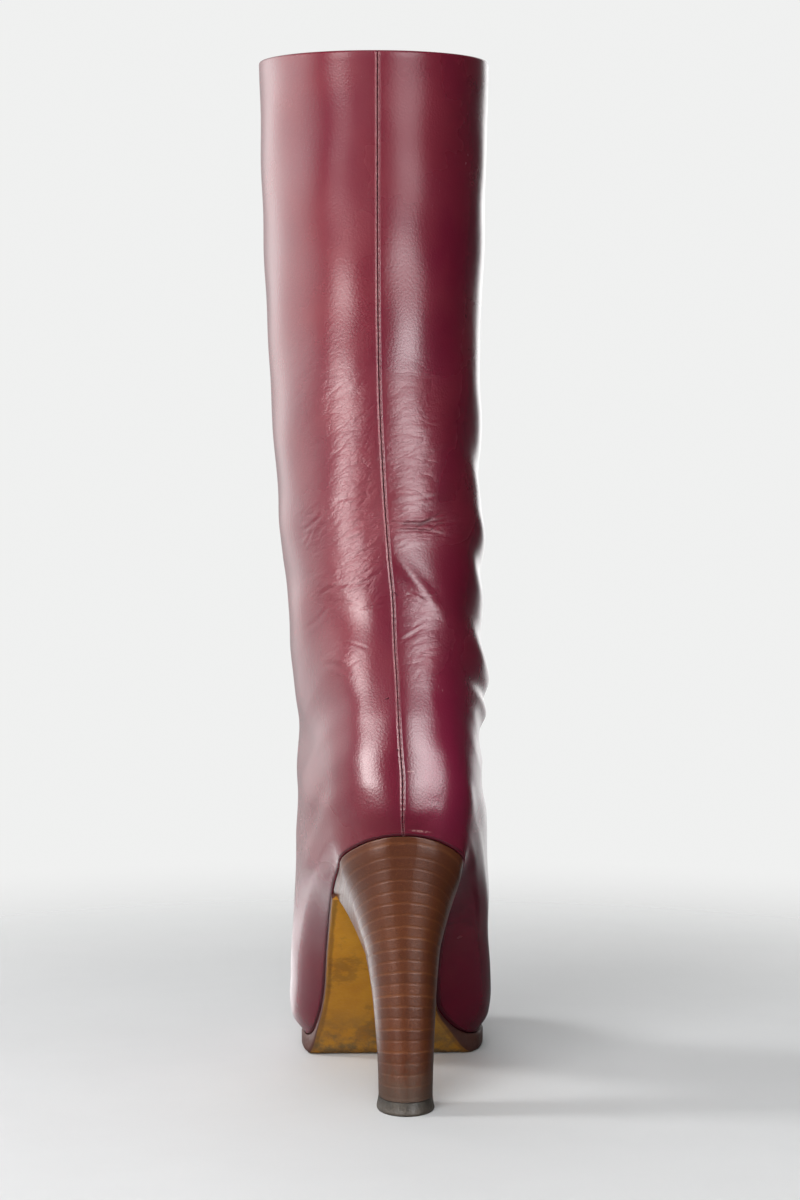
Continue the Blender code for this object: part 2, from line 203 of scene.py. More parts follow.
# Outward unit directions of a grid that closes round its columns
def gridNormals(points):
    around = np.roll(points, -1, axis=1) - np.roll(points, 1, axis=1)
    return unit(np.cross(np.gradient(points, axis=0), around))


# Shader node: a value in inputs is either a number or colour, or another node's output
def addNode(tree, kind, inputs=None, **settings):
    made = tree.nodes.new(kind)
    for key, value in settings.items():
        setattr(made, key, value)
    for key, value in (inputs or {}).items():
        if isinstance(value, bpy.types.NodeSocket):
            tree.links.new(value, made.inputs[key])
        else:
            made.inputs[key].default_value = value
    return made


# The helpers below work in the tree of the first output they are given
def treeOf(*values):
    return next(value.id_data for value in values if isinstance(value, bpy.types.NodeSocket))


def mathNode(operation, *values, clamp=False):
    settings = {"operation": operation, "use_clamp": clamp}
    return addNode(treeOf(*values), "ShaderNodeMath", dict(enumerate(values)), **settings).outputs[0]


def times(result, *others):
    for value in others:
        result = mathNode("MULTIPLY", result, value)
    return result


def most(result, *others):
    for value in others:
        result = mathNode("MAXIMUM", result, value)
    return result


def timesPlus(value, factor, added):
    return mathNode("MULTIPLY_ADD", value, factor, added)


def mapRange(value, fromLow, fromHigh, toLow=0.0, toHigh=1.0):
    inputs = {0: value, 1: fromLow, 2: fromHigh, 3: toLow, 4: toHigh}
    made = addNode(treeOf(value), "ShaderNodeMapRange", inputs, interpolation_type="SMOOTHSTEP")
    return made.outputs[0]


def mixColour(share, a, b):
    a, b = (value if isinstance(value, bpy.types.NodeSocket) else (*value, 1) for value in (a, b))
    return addNode(treeOf(share), "ShaderNodeMix", {0: share, 6: a, 7: b}, data_type="RGBA").outputs[2]


def noiseNode(vector, scale, detail=2.0, rough=0.5):
    inputs = {"Vector": vector, "Scale": scale, "Detail": detail, "Roughness": rough}
    return addNode(treeOf(vector), "ShaderNodeTexNoise", inputs).outputs["Fac"]


# Place on the object, first turned about Y by some degrees and then stretched
def objectPlace(tree, stretch=(1, 1, 1), turn=0.0):
    source = addNode(tree, "ShaderNodeTexCoord").outputs["Object"]
    if stretch == (1, 1, 1) and not turn:
        return source
    scale = tuple(1 / v for v in stretch)
    inputs = {"Vector": source, "Rotation": (0, math.radians(turn), 0), "Scale": scale}
    return addNode(tree, "ShaderNodeMapping", inputs, vector_type="TEXTURE").outputs[0]


def pointValue(tree, name):
    return addNode(tree, "ShaderNodeAttribute", attribute_name=name).outputs["Fac"]


def axesOf(vector):
    return addNode(treeOf(vector), "ShaderNodeSeparateXYZ", {0: vector}).outputs


def vectorLength(vector):
    made = addNode(treeOf(vector), "ShaderNodeVectorMath", {0: vector}, operation="LENGTH")
    return made.outputs["Value"]


# Ellipsoid marks, 1 inside and soft at the edge: middle, half sizes and turn about Y in degrees
def placedMarks(spot, rows):
    tree, marks = treeOf(spot), 0.0
    for middle, half, turn in rows:
        inputs = {0: spot, 1: tuple(place(middle))}
        shift = addNode(tree, "ShaderNodeVectorMath", inputs, operation="SUBTRACT").outputs[0]
        sizes = tuple(v * mm for v in half)
        inputs = {"Vector": shift, "Rotation": (0, math.radians(turn), 0), "Scale": sizes}
        inside = addNode(tree, "ShaderNodeMapping", inputs, vector_type="TEXTURE").outputs[0]
        marks = most(mapRange(vectorLength(inside), 1.0, 0.45), marks)
    return marks


# Colour, relief in metres and roughness to a shader
def wire(shader, colour, height=None, rough=None):
    tree = treeOf(colour)
    tree.links.new(colour, shader.inputs["Base Color"])
    if height is not None:
        bump = addNode(tree, "ShaderNodeBump", {"Height": height, "Distance": 1.0})
        tree.links.new(bump.outputs[0], shader.inputs["Normal"])
    if rough is not None:
        tree.links.new(rough, shader.inputs["Roughness"])


def newMaterial(name, **sockets):
    material = bpy.data.materials.new(name)
    material.use_nodes = True
    shader = material.node_tree.nodes["Principled BSDF"]
    for key, value in sockets.items():
        shader.inputs[key].default_value = value
    return material, material.node_tree, shader


def newGroup(name, inputs, outputs):
    tree = bpy.data.node_groups.new(name, "ShaderNodeTree")
    for key, value in inputs.items():
        socket = tree.interface.new_socket(key, in_out="INPUT", socket_type="NodeSocketFloat")
        socket.default_value = value
    for key in outputs:
        tree.interface.new_socket(key, in_out="OUTPUT", socket_type="NodeSocketFloat")
    return tree, tree.nodes.new("NodeGroupInput"), tree.nodes.new("NodeGroupOutput")


def useGroup(tree, group, **inputs):
    return addNode(tree, "ShaderNodeGroup", inputs, node_tree=group).outputs


# Leather grain: pebbled cells with fine pores over them, and a slow unevenness of the dye
def makeGrainGroup():
    sizes = {"Cells": 1400.0, "Blotches": 22.0}
    tree, given, result = newGroup("leatherGrain", sizes, ["Height", "Blotch"])
    spot = objectPlace(tree)
    inputs = {"Vector": spot, "Scale": given.outputs["Cells"], "Smoothness": 0.6}
    cells = addNode(tree, "ShaderNodeTexVoronoi", inputs, feature="SMOOTH_F1").outputs["Distance"]
    pores = noiseNode(spot, times(given.outputs["Cells"], 2.6), 1.0)
    height = timesPlus(cells, 0.7, times(pores, 0.3))
    tree.links.new(height, result.inputs["Height"])
    slow = noiseNode(spot, given.outputs["Blotches"], 4.0, 0.6)
    tree.links.new(mapRange(slow, 0.3, 0.7), result.inputs["Blotch"])
    return tree


# Scuffs: thin broken scratches, kept where a slower noise lets them through
def makeScuffGroup():
    tree, given, result = newGroup("scuffs", {"Fineness": 900.0, "Share": 0.5}, ["Scuff"])
    streaks = noiseNode(objectPlace(tree, (1, 1, 0.22)), given.outputs["Fineness"], 3.0, 0.7)
    patches = noiseNode(objectPlace(tree), 60.0, 3.0, 0.6)
    marks = mapRange(streaks, 0.62, 0.78)
    limit = mathNode("SUBTRACT", 1.0, given.outputs["Share"])
    held = mathNode("SUBTRACT", patches, timesPlus(limit, 0.5, 0.25), clamp=True)
    tree.links.new(times(marks, mapRange(held, 0.0, 0.12)), result.inputs["Scuff"])
    return tree


# Street dust: grows towards the floor, with a ragged upper edge
def makeDustGroup():
    tree, given, result = newGroup("dust", {"Reach": 0.012}, ["Dust"])
    spot = objectPlace(tree)
    height = axesOf(spot)["Z"]
    ragged = times(noiseNode(spot, 260.0, 4.0, 0.7), 2.0)
    share = mathNode("DIVIDE", height, times(given.outputs["Reach"], ragged))
    tree.links.new(mapRange(share, 1.4, 0.1), result.inputs["Dust"])
    return tree


grainGroup, scuffGroup, dustGroup = makeGrainGroup(), makeScuffGroup(), makeDustGroup()

# Thread: stitches down the back seam's groove, and a few loose ends
thread = {
    "radius": 0.2,
    "pitch": 2.6,
    "long": 2.0,
    "sides": 7,
    "stops": (-1, -0.96, -0.7, 0, 0.7, 0.96, 1),     # along a stitch, as shares of its half length
    "arch": 0.6,                     # rise of a stitch's middle, as a share of the radius
    "inset": 0.3,                    # how deep it lies, the same way
    "low": 129.5,
    "high": 463.0,
    # height, how far below the plain face of the leather
    "sunk": [(127, 0.1), (190, 0.15), (222, 0.4), (466, 0.45)],
    # loose ends: angle and height at both ends, bow, how far the middle stands out, radius
    "loose": [(-7, 187, -5, 188.3, 0.5, 0.8, 0.11), (-0.2, 182.4, 0.4, 179.6, 0.7, 0.9, 0.12),
              (-1.9, 166.6, -0.3, 164.6, -0.5, 0.8, 0.13), (0.6, 233.5, 2.6, 232.2, 0.4, 0.6, 0.1)],
    "looseSteps": 14,
    "looseWave": 0.4,                # along the line, as a share of the bow
    "rooted": 0.1,                   # how deep the ends lie in the leather
}

# Upper: leg, counter and vamp in one calf skin
upper = {
    "wall": 2.0,
    "height": 466.0,
    "gap": 0.3,                      # above the sole
    # up the wall, counted in rings: where the fineness changes, and the rows between
    "ringStops": (0, 4, 6, 9.5, 12),
    "ringSteps": (32, 60, 250, 44),
    # degrees round each side from the back seam
    "turnStops": (0, 2.2, 64, 120, 180),
    "turnSteps": (14, 56, 20, 20),
    "innerRows": 20,
    # back y, back z, front y, front z, half width, middle, shares of the feather outline, the body outline
    # and the sole's curve, how much blunter than an ellipse the back is
    "rings": [(0, 127, 215.5, 15.5, 44, 0.5, 1, 0, 1, 0),
              (-4.4, 138, 218.5, 25.5, 44.5, 0.4, 0.16, 0.84, 1, 0),
              (-6.6, 151, 215.5, 35.5, 44.5, 0, 0, 1, 1, 0.1),
              (-6.5, 163, 203, 44, 44.6, -0.6, 0, 0.45, 1, 0.3),
              (-5, 178, 181, 52, 43.8, -1, 0, 0.10, 1, 0.39),
              (-2.4, 193, 152, 67.5, 42, -1.4, 0, 0, 0.9, 0.47),
              (-0.4, 210, 124.5, 97, 41.4, -2.4, 0, 0, 0.6, 0.5),
              (0.4, 228, 107.5, 134, 42.4, -3, 0, 0, 0.3, 0.3),
              (0.2, 250, 101, 190, 43.4, -5, 0, 0, 0.1, 0.13),
              (-1.5, 284, 102, 252, 45.2, -7.4, 0, 0, 0, 0.03),
              (-4.5, 332, 106.5, 320, 47, -9.4, 0, 0, 0, 0),
              (-8, 397, 111.5, 394, 49.4, -10, 0, 0, 0, 0),
              (-9.5, 466, 114.5, 466, 51, -10, 0, 0, 0, 0)],
    # slack folds: angle from the back seam, height, out, half height, half angle, rise per degree
    "folds": [(112, 190, 3, 10, 38, 0.10), (114, 175, 1.4, 6, 36, 0.10), (110, 163, -2.2, 7, 36, 0.06),
              (108, 141, -3, 8, 38, 0), (-98, 147, 1.8, 12, 34, -0.12), (-92, 170, -1.2, 10, 30, -0.10),
              (70, 252, 1, 16, 28, -0.20), (28, 262, -1, 10, 22, 0.25), (-38, 226, -1, 10, 24, -0.30),
              (180, 158, -1.6, 10, 40, 0), (180, 200, -1.2, 12, 40, 0)],
    # shallower waves of the skin alone, the same way
    "waves": [(82, 284, -1.0, 9, 26, -0.5), (82, 256, 1.3, 8, 26, -0.5), (80, 241, -1.0, 7, 24, -0.5),
              (82, 229, 0.5, 6, 24, -0.4), (80, 212, -1.3, 8, 26, -0.4), (86, 196, 1.2, 6, 26, -0.4),
              (84, 184, -1.5, 4, 26, -0.35), (86, 176, 0.8, 4, 24, -0.35), (84, 164, -0.8, 7, 24, -0.3),
              (80, 310, 0.8, 12, 26, -0.5), (80, 345, -0.8, 14, 26, -0.4), (0, 138, 0.5, 7, 70, 0),
              (2, 184, 0.9, 20, 11, 0), (-29, 160, 1.2, 28, 15, 0), (30, 156, 1.0, 26, 14, 0),
              (15, 238, 0.7, 5, 12, -0.85),
              (-84, 262, 0.5, 9, 26, -0.05), (-84, 236, -0.6, 9, 26, 0), (-88, 205, 0.6, 10, 26, -0.1)],
    # back seam: millimetres from its middle, and how far the sewn lips stand out
    "seam": [(0, -0.5), (0.13, -0.36), (0.28, 0.16), (0.45, 0.27), (0.64, 0.2), (0.9, 0.02), (1.3, -0.05),
             (2.0, 0)],
    "lipLine": (0.46, 0.21),         # rubbed lips: millimetres from the seam's middle, half width
    "grooveHalf": 0.19,              # half width of the dark groove between them
    "rollSteps": 9,                  # points over the collar's rolled edge
    "perDegree": 0.8,                # millimetres round the leg
    # where the leather is finely wrinkled: angle, height, half angle, half height, how strongly
    "wrinkled": [(20, 262, 24, 6, 1.5), (16, 286, 16, 16, 0.6), (-14, 284, 12, 18, 0.8),
                 (-14, 262, 12, 14, 0.8), (-40, 262, 16, 14, 0.6), (-16, 243, 14, 10, 0.8),
                 (-34, 233, 18, 8, 0.6), (14, 230, 12, 8, 0.7), (18, 212, 14, 12, 0.8),
                 (-32, 206, 14, 8, 0.4), (20, 312, 26, 20, 0.35), (-26, 318, 26, 22, 0.35)],
    # flex creases across the vamp: place along the foot, half length, width, depth, slant
    "flexed": [(139, 34, 2.2, 0.30, 0.05), (146, 36, 1.8, 0.26, -0.04), (154, 36, 2.4, 0.30, 0.03),
               (162, 30, 2.0, 0.2, 0)],
    "flexBow": 0.004,                # how they bow back, per square millimetre
    "flexTop": (0.2, 0.7),           # steepness of the skin from which they show
    # slow unevenness: waves round the leg, millimetres to a wave up the leg, phase, out
    "ripples": [(3.1, 61, 0.4, 0.16), (-4.3, 43, 1.9, 0.12), (6.2, 37, 3.3, 0.09), (-7.4, 71, 5.1, 0.10)],
}
topRing = len(upper["rings"]) - 1

# Creases from, by way of, and to: angle from the seam, negative on the lateral side, and height;
# then width and depth
creases = [
    # medial, above the ankle
    (2, 264, 17, 263.5, 39.5, 265.5, 0.75, 0.36), (2, 262.5, 21, 262.5, 44, 263.5, 0.6, 0.22),
    (2, 261, 17, 260.5, 39.5, 257.5, 0.6, 0.24), (2.5, 259.5, 9, 260, 15, 259.5, 0.6, 0.16),
    (15, 260, 25, 264.5, 37, 267.5, 0.66, 0.28), (5, 253, 15, 257.5, 18.5, 261, 0.62, 0.07),
    (5, 272, 16, 273.5, 33, 275.5, 0.81, 0.104), (4, 277, 14.5, 276.5, 20, 276.5, 0.64, 0.069),
    (7, 284.5, 18, 286.5, 28.5, 291.5, 0.62, 0.055), (7.5, 289.5, 17, 293, 27, 296.5, 0.62, 0.055),
    (8, 294, 17, 296, 25, 299, 0.62, 0.055), (4, 270.5, 10, 269.5, 14.5, 271, 0.62, 0.055),
    (4.5, 280, 14, 281, 21.5, 280, 0.64, 0.055),
    # medial, at the ankle
    (8, 234, 14.5, 231.5, 21, 229, 0.64, 0.083), (5.5, 231, 13, 232.5, 18, 230, 0.62, 0.069),
    (3, 226, 9, 227.5, 13, 227.5, 0.62, 0.055), (11, 218, 16, 220, 21, 222, 0.7, 0.124),
    (3, 212.5, 11, 215, 20, 219.5, 0.81, 0.151), (13, 210.5, 19, 213, 25.5, 215, 0.64, 0.083),
    (11.5, 204, 17, 207.5, 25.5, 210, 0.7, 0.09), (9.5, 200, 13, 203.5, 17, 206.5, 0.62, 0.069),
    (18, 198, 24.5, 201, 38, 204.5, 0.75, 0.062), (21, 197.5, 30, 201, 43, 203, 0.75, 0.055),
    (11, 195.5, 14, 198.5, 17, 201, 0.62, 0.069), (11, 142, 15, 143, 19.5, 140, 1.27, 0.09),
    # lateral, above the ankle
    (-29, 273, -17, 275, -8, 276, 0.75, 0.104), (-17, 272, -11.5, 272.5, -5.5, 274, 0.62, 0.083),
    (-55, 259.5, -43.5, 263.5, -33, 271, 0.81, 0.131), (-54, 252.5, -48, 257.5, -43.5, 262.5, 0.7, 0.096),
    (-46, 256.5, -41.5, 260, -35, 263.5, 0.64, 0.083), (-20, 267, -15, 266.5, -10.5, 266.5, 0.62, 0.055),
    (-21, 261, -13, 262, -3.5, 261.5, 0.64, 0.083), (-23, 255.5, -18, 257.5, -13, 259, 0.62, 0.069),
    (-22.5, 249, -14, 251, -3.5, 255.5, 0.75, 0.104), (-17.5, 247, -13.5, 249, -10, 251.5, 0.62, 0.069),
    (-16, 245, -11.5, 248, -7.5, 251, 0.62, 0.069), (-22.5, 238.5, -14.5, 242, -6.5, 246.5, 0.7, 0.09),
    (-19, 289, -13, 289.5, -6.5, 291, 0.62, 0.055), (-17.5, 296.5, -13, 297, -9, 296.5, 0.62, 0.049),
    (-19.5, 282.5, -12, 282, -4, 285.5, 0.62, 0.055),
    # lateral, at the ankle
    (-47, 231, -32, 236, -14.5, 238, 0.93, 0.151), (-29, 236, -18, 237, -7, 243.5, 0.7, 0.09),
    (-37.5, 227.5, -28.5, 229, -20.5, 227.5, 0.81, 0.09),
    (-21, 226, -13.5, 227, -4.5, 228.5, 0.62, 0.083),
    (-36, 212.5, -25, 211, -15, 208.5, 0.62, 0.069), (-46, 201.5, -36, 201, -27, 198.5, 1.5, 0.159),
    (-62, 215.5, -50, 220, -40, 228.5, 1.1, 0.05),
    # higher up the leg, softer
    (6, 309, 20, 311, 36, 309, 1.04, 0.055), (-34, 318, -20, 316, -7, 318, 1.04, 0.055),
    (10, 334, 26, 337, 44, 336, 1.27, 0.062), (-50, 344, -34, 341, -16, 343, 1.27, 0.062),
]
# How all creases are formed: where they fade, as a share of their length, and the ridges beside them, as
# shares of their width and depth
creaseForm = {"fade": (-0.12, 0.28), "ridgeAway": 1.9, "ridgeWide": 1.2, "ridgeHigh": 0.45}


# Outer face before folds: rings between table rows, each a mix of feather outline, body outline and oval,
# on a plane that gives way to the sole's own curve; the back half is drawn back by the bluntness times the
# square of the cosine
def upperSurface(level, turn, sign):
    index = np.arange(len(upper["rings"]))
    backY, backZ, frontY, frontZ, half, middle, feather, body, sag, blunt = (
        smoothCurve(index, column, level)[:, None] for column in zip(*upper["rings"]))
    featherMiddle, featherHalf = outline(last["feather"], turn)
    bodyMiddle, bodyHalf = outline(last["body"], turn)
    oval = 1 - feather - body
    centre = feather * featherMiddle + body * bodyMiddle + oval * middle
    width = feather * featherHalf + body * bodyHalf + oval * half * np.sin(turn)
    share = (1 - np.cos(turn)) / 2
    y = backY + (frontY - backY) * share * (1 - blunt * np.clip(np.cos(turn), 0, 1) ** 2)
    liftBack, liftFront = backZ - soleHeight(backY), frontZ - soleHeight(frontY)
    curved = soleHeight(y) + liftBack + (liftFront - liftBack) * share
    flat = backZ + (frontZ - backZ) * share
    return np.stack([centre + sign * width, y, sag * curved + (1 - sag) * flat], axis=-1)


def upperTurns(stops, steps):
    side = np.radians(spread(stops, steps))
    turn = np.concatenate([side, side[-2:0:-1]])
    return turn, np.concatenate([-np.ones(len(side)), np.ones(len(side) - 2)])


# Sum of soft bumps exp(-(above/half height)^2 - (aside/half angle)^2), leaning with the angle
def foldHeight(points, angle, table="folds"):
    out = np.zeros(points.shape[:2])
    for middle, height, reach, halfHeight, halfAngle, rise in upper[table]:
        aside = (angle - middle + 180) % 360 - 180
        above = points[..., 2] - height - rise * aside
        out += reach * np.exp(-((above / halfHeight) ** 2) - (aside / halfAngle) ** 2)
    return out


# A crease is a bowed line on the unrolled leg: a trough exp(-(d/w)^2) with a low ridge on both sides,
# fading towards the line's ends. Gives the height and, for the darkening of troughs, how deep in a trough a
# point lies.
def creaseHeight(points, angle):
    across, up = angle * upper["perDegree"] + 0 * points[..., 2], points[..., 2]
    out, deep = np.zeros(up.shape), np.zeros(up.shape)
    for angleA, zA, angleM, zM, angleB, zB, width, depth in creases:
        a, m, b = (np.array([angle0 * upper["perDegree"], z0])
                   for angle0, z0 in ((angleA, zA), (angleM, zM), (angleB, zB)))
        length = np.linalg.norm(b - a)
        run = (b - a) / length
        square = np.array([-run[1], run[0]])
        bow = np.dot(m - (a + b) / 2, square)
        t = ((across - a[0]) * run[0] + (up - a[1]) * run[1]) / length
        d = (across - a[0]) * square[0] + (up - a[1]) * square[1] - 4 * bow * t * (1 - t)
        fade = ease(*creaseForm["fade"], t) * ease(*creaseForm["fade"], 1 - t)
        trough = np.exp(-((d / width) ** 2))
        beyond = (np.abs(d) / width - creaseForm["ridgeAway"]) / creaseForm["ridgeWide"]
        out += depth * fade * (creaseForm["ridgeHigh"] * np.exp(-beyond ** 2) - trough)
        deep += depth * fade * trough
    return out, deep


# Slow unevenness of the leather: crossed waves round and up the leg
def rippleHeight(points, angle):
    turn, up = np.radians(angle), points[..., 2]
    return sum(out * np.sin(count * turn + 2 * np.pi * up / wave + phase)
               for count, wave, phase, out in upper["ripples"])


# Flex creases over the vamp: troughs across the foot, strongest on its top
def vampHeight(points, normal):
    out, x = np.zeros(points.shape[:2]), points[..., 0]
    for y, half, width, depth, slant in upper["flexed"]:
        d = points[..., 1] - y - slant * x + upper["flexBow"] * x * x
        out -= depth * np.exp(-((d / width) ** 2) - (x / half) ** 4)
    return out * ease(*upper["flexTop"], normal[..., 2])


def makeUpperSkin(material):
    turn, sign = upperTurns(upper["turnStops"], upper["turnSteps"])
    angle = np.degrees(turn) * sign
    plain = upperSurface(spread(upper["ringStops"], upper["ringSteps"]), turn, sign)
    normal = gridNormals(plain)
    high = plain[..., 2]
    foot = high - plain[:1, :, 2]
    calm = ease(0, 6, foot) * ease(upper["height"], upper["height"] - 10, high)   # still at both edges
    creased, deep = creaseHeight(plain, angle)
    waved = creased + rippleHeight(plain, angle) + foldHeight(plain, angle, "waves")
    fine = waved * calm + vampHeight(plain, normal)
    aside = np.abs(angle) * upper["perDegree"] + 0 * high
    lips = tableCurve(upper["seam"], 1, aside)
    outer = plain + normal * (foldHeight(plain, angle) + fine + lips)[..., None]
    outer[0, :, 2] = soleHeight(outer[0, :, 1]) + upper["gap"]
    # the collar's edge rolls over in a half circle, one wall thick
    radius = upper["wall"] / 2
    outer[-1, :, 2] = upper["height"] - radius
    rollTurn = np.radians(np.linspace(0, 180, upper["rollSteps"]))[1:-1, None, None]
    edge = outer[-1]
    inward = -unit(normal[-1] * np.array([1, 1, 0]))
    roll = edge + radius * (inward * (1 - np.cos(rollTurn)) + np.array([0, 0, 1]) * np.sin(rollTurn))
    # the inner face is coarser; its top row closes the roll
    innerPlain = upperSurface(np.linspace(topRing, 0, upper["innerRows"]), turn, sign)
    innerNormal = gridNormals(innerPlain[::-1])[::-1]
    innerOut = foldHeight(innerPlain, angle) - upper["wall"]
    inner = innerPlain + innerNormal * innerOut[..., None]
    inner[0] = edge + 2 * radius * inward
    inner[-1, :, 2] = soleHeight(inner[-1, :, 1]) + upper["gap"]
    points = np.concatenate([outer, roll, inner])
    rows, columns = points.shape[:2]
    # named values for the finish; the inside counts as far from the feather edge
    slack = sum(share * np.exp(-((angle - middle) / halfAngle) ** 2 - ((high - height) / halfHeight) ** 2)
                for middle, height, halfAngle, halfHeight, share in upper["wrinkled"])
    lipLine, lipHalf = upper["lipLine"]
    lip = np.exp(-((aside - lipLine) / lipHalf) ** 2)
    groove = np.exp(-(aside / upper["grooveHalf"]) ** 2)
    named = {"lip": (lip, 0), "groove": (groove, 0), "trough": (deep, 0), "slack": (slack, 0),
             "foot": (foot, 300)}
    values = {key: np.concatenate([outside, np.full((rows - len(outer), columns), float(inside))])
              for key, (outside, inside) in named.items()}
    faces = gridFaces(rows, columns, turned=True, looped=True)
    piece = makePiece("upperSkin", points, faces, material, values)
    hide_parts("upper")
    return piece


calf = {
    "wine": (0.120, 0.005, 0.020),
    "brick": (0.165, 0.016, 0.026),
    # painted bounce light: lighter, more magenta wine for the low medial counter
    "bouncePlum": (0.185, 0.010, 0.038),
    # dark: for crease troughs, and painted shade along the feather edge and in the seam's groove
    "dark": (0.020, 0.003, 0.006),
    "pale": (0.42, 0.20, 0.20),
    "grain": 1000.0,                 # cells per metre
    # where the painted warm light, the painted bounce light and the seam change, in metres from and to
    "warmLitSide": (0.035, -0.05),
    "paintedBounce": ((0.110, 0.135), (0.24, 0.15), (0.008, 0.030)),
    "lipsTouch": (0.235, 0.195),
    "parting": (-0.004, 0.006),
    # pale rubs: middle, half sizes, turn
    "rubs": [((8.5, 2, 128.9), (6.5, 8, 0.8), 8), ((4.2, -5, 156), (2.4, 6, 0.45), -4)],
    # wrinkles of slack leather: stretch round the leg, fineness, depth in metres
    "wrinkles": [(0.4, 95.0, 0.0010), (0.4, 300.0, 0.00035), (0.6, 700.0, 0.00012)],
}


def makeCalf():
    finish = {"IOR": 1.5, "Coat Weight": 0.3, "Coat Roughness": 0.2, "Specular IOR Level": 0.5}
    material, tree, shader = newMaterial("burgundyCalf", **finish)
    grain = useGroup(tree, grainGroup, Cells=calf["grain"], Blotches=16.0)
    spot = objectPlace(tree)
    # dye: wine with brick patches; browner towards the lateral side as painted warm light, and lighter plum
    # on the medial side of the counter as painted bounce light
    where = axesOf(spot)
    # painted warm light: the lateral side is mixed towards brick
    side = mapRange(where["X"], *calf["warmLitSide"], -0.25, 0.35)
    tone = mathNode("ADD", times(grain["Blotch"], 0.7), side, clamp=True)
    colour = mixColour(tone, calf["wine"], calf["brick"])
    # painted bounce light, low on the medial side of the counter
    paintedBounce = times(*(mapRange(where[axis], *zone) for axis, zone in zip("ZZX", calf["paintedBounce"])))
    colour = mixColour(paintedBounce, colour, calf["bouncePlum"])
    # darker in crease troughs; painted shade along the feather edge and in the seam's groove, less between
    # two stitches where the lips touch, most clearly low on the leg
    trough = mapRange(pointValue(tree, "trough"), 0.05, 0.55, 0.0, 0.55)
    foot = mapRange(pointValue(tree, "foot"), 1.3, 0.1, 0.0, 0.75)
    stitchTurn = timesPlus(where["Z"], 2 * math.pi / (thread["pitch"] * mm),
                           math.pi * (1 - 2 * thread["low"] / thread["pitch"]))
    between = mathNode("COSINE", stitchTurn)
    touch = times(mapRange(between, 0.5, 0.9), mapRange(where["Z"], *calf["lipsTouch"], 0.15, 0.8))
    groove = times(pointValue(tree, "groove"), mathNode("SUBTRACT", 0.97, touch))
    # darker troughs, with painted shade along the feather edge and in the groove
    troughsAndShade = most(trough, foot, groove)
    colour = mixColour(troughsAndShade, colour, calf["dark"])
    # rubbed lips, rubs and scuffs are paler
    lip = pointValue(tree, "lip")
    rubbed = mapRange(noiseNode(spot, 420.0, 3.0, 0.7), 0.35, 0.7, 0.15, 0.6)
    scuff = times(useGroup(tree, scuffGroup, Fineness=1200.0, Share=0.35)["Scuff"], 0.3)
    ragged = mapRange(noiseNode(spot, 900.0, 3.0, 0.7), 0.4, 0.6, 0.1, 0.75)
    rubs = times(placedMarks(spot, calf["rubs"]), ragged)
    colour = mixColour(most(times(lip, rubbed), scuff, rubs), colour, calf["pale"])
    # gloss: polished, duller where the leg is slack, in the darkened troughs, the painted shade lines and
    # scuffs
    slack = pointValue(tree, "slack")
    uneven = timesPlus(grain["Blotch"], 0.06, timesPlus(slack, 0.15, 0.225))
    rough = timesPlus(most(troughsAndShade, scuff), 0.15, uneven)
    # relief: grain, the seam's stitch dimples, and pillows parted by thin wrinkles where the leg is slack
    height = timesPlus(grain["Height"], 0.00007, times(between, lip, 0.0001))
    medial = mapRange(where["X"], *calf["parting"])
    for turn, share in ((-36, mathNode("SUBTRACT", 1.0, medial)), (-10, medial)):
        held = times(slack, share)
        for stretch, scale, depth in calf["wrinkles"]:
            wave = noiseNode(objectPlace(tree, (stretch, stretch, 1), turn), scale)
            fold = mathNode("ABSOLUTE", timesPlus(wave, 2.0, -1.0))
            height = timesPlus(times(mathNode("POWER", fold, 0.75), held), depth, height)
    wire(shader, colour, height, rough)
    return material


upperSkin = makeUpperSkin(makeCalf())

# Lining: a thin leather sleeve inside the wall, from below the collar's edge to the insole
lining = {
    "clear": 0.12,                   # from the wall, and a little more for its outer face
    "outer": 0.05,
    "thick": 0.5,
    "ripple": 0.1,                   # share of the leg's own
    "top": 462.5,
    "lowRing": 0.12,
    "rows": 90,
    "turnStops": (0, 90, 180),
    "turnSteps": (36, 36),
}


def makeLining(material):
    turn, sign = upperTurns(lining["turnStops"], lining["turnSteps"])
    angle = np.degrees(turn) * sign
    plain = upperSurface(np.linspace(lining["lowRing"], topRing, lining["rows"]), turn, sign)
    normal = gridNormals(plain)
    base = foldHeight(plain, angle) - upper["wall"] - lining["clear"]
    ripple = lining["ripple"] * rippleHeight(plain, angle)
    faceOut = plain + normal * (base - lining["outer"])[..., None]
    faceIn = plain + normal * (base - lining["thick"] + ripple)[..., None]
    for face in (faceOut, faceIn):
        face[-1, :, 2] = lining["top"]
    points = np.concatenate([faceOut, faceIn[::-1]])
    rows, columns = points.shape[:2]
    faces = gridFaces(rows, columns, turned=True, looped=True)
    return makePiece("lining", points, faces, material, sharp=40)


liningLook = {"cream": (0.47, 0.34, 0.21), "worn": (0.30, 0.20, 0.12)}


def makeLiningLeather(name):
    material, tree, shader = newMaterial(name)
    grain = useGroup(tree, grainGroup, Cells=1900.0, Blotches=26.0)
    colour = mixColour(grain["Blotch"], liningLook["cream"], liningLook["worn"])
    wire(shader, colour, times(grain["Height"], 0.00005), timesPlus(grain["Blotch"], 0.15, 0.55))
    return material


liningLeather = makeLiningLeather("liningLeather")
liningSleeve = makeLining(liningLeather)


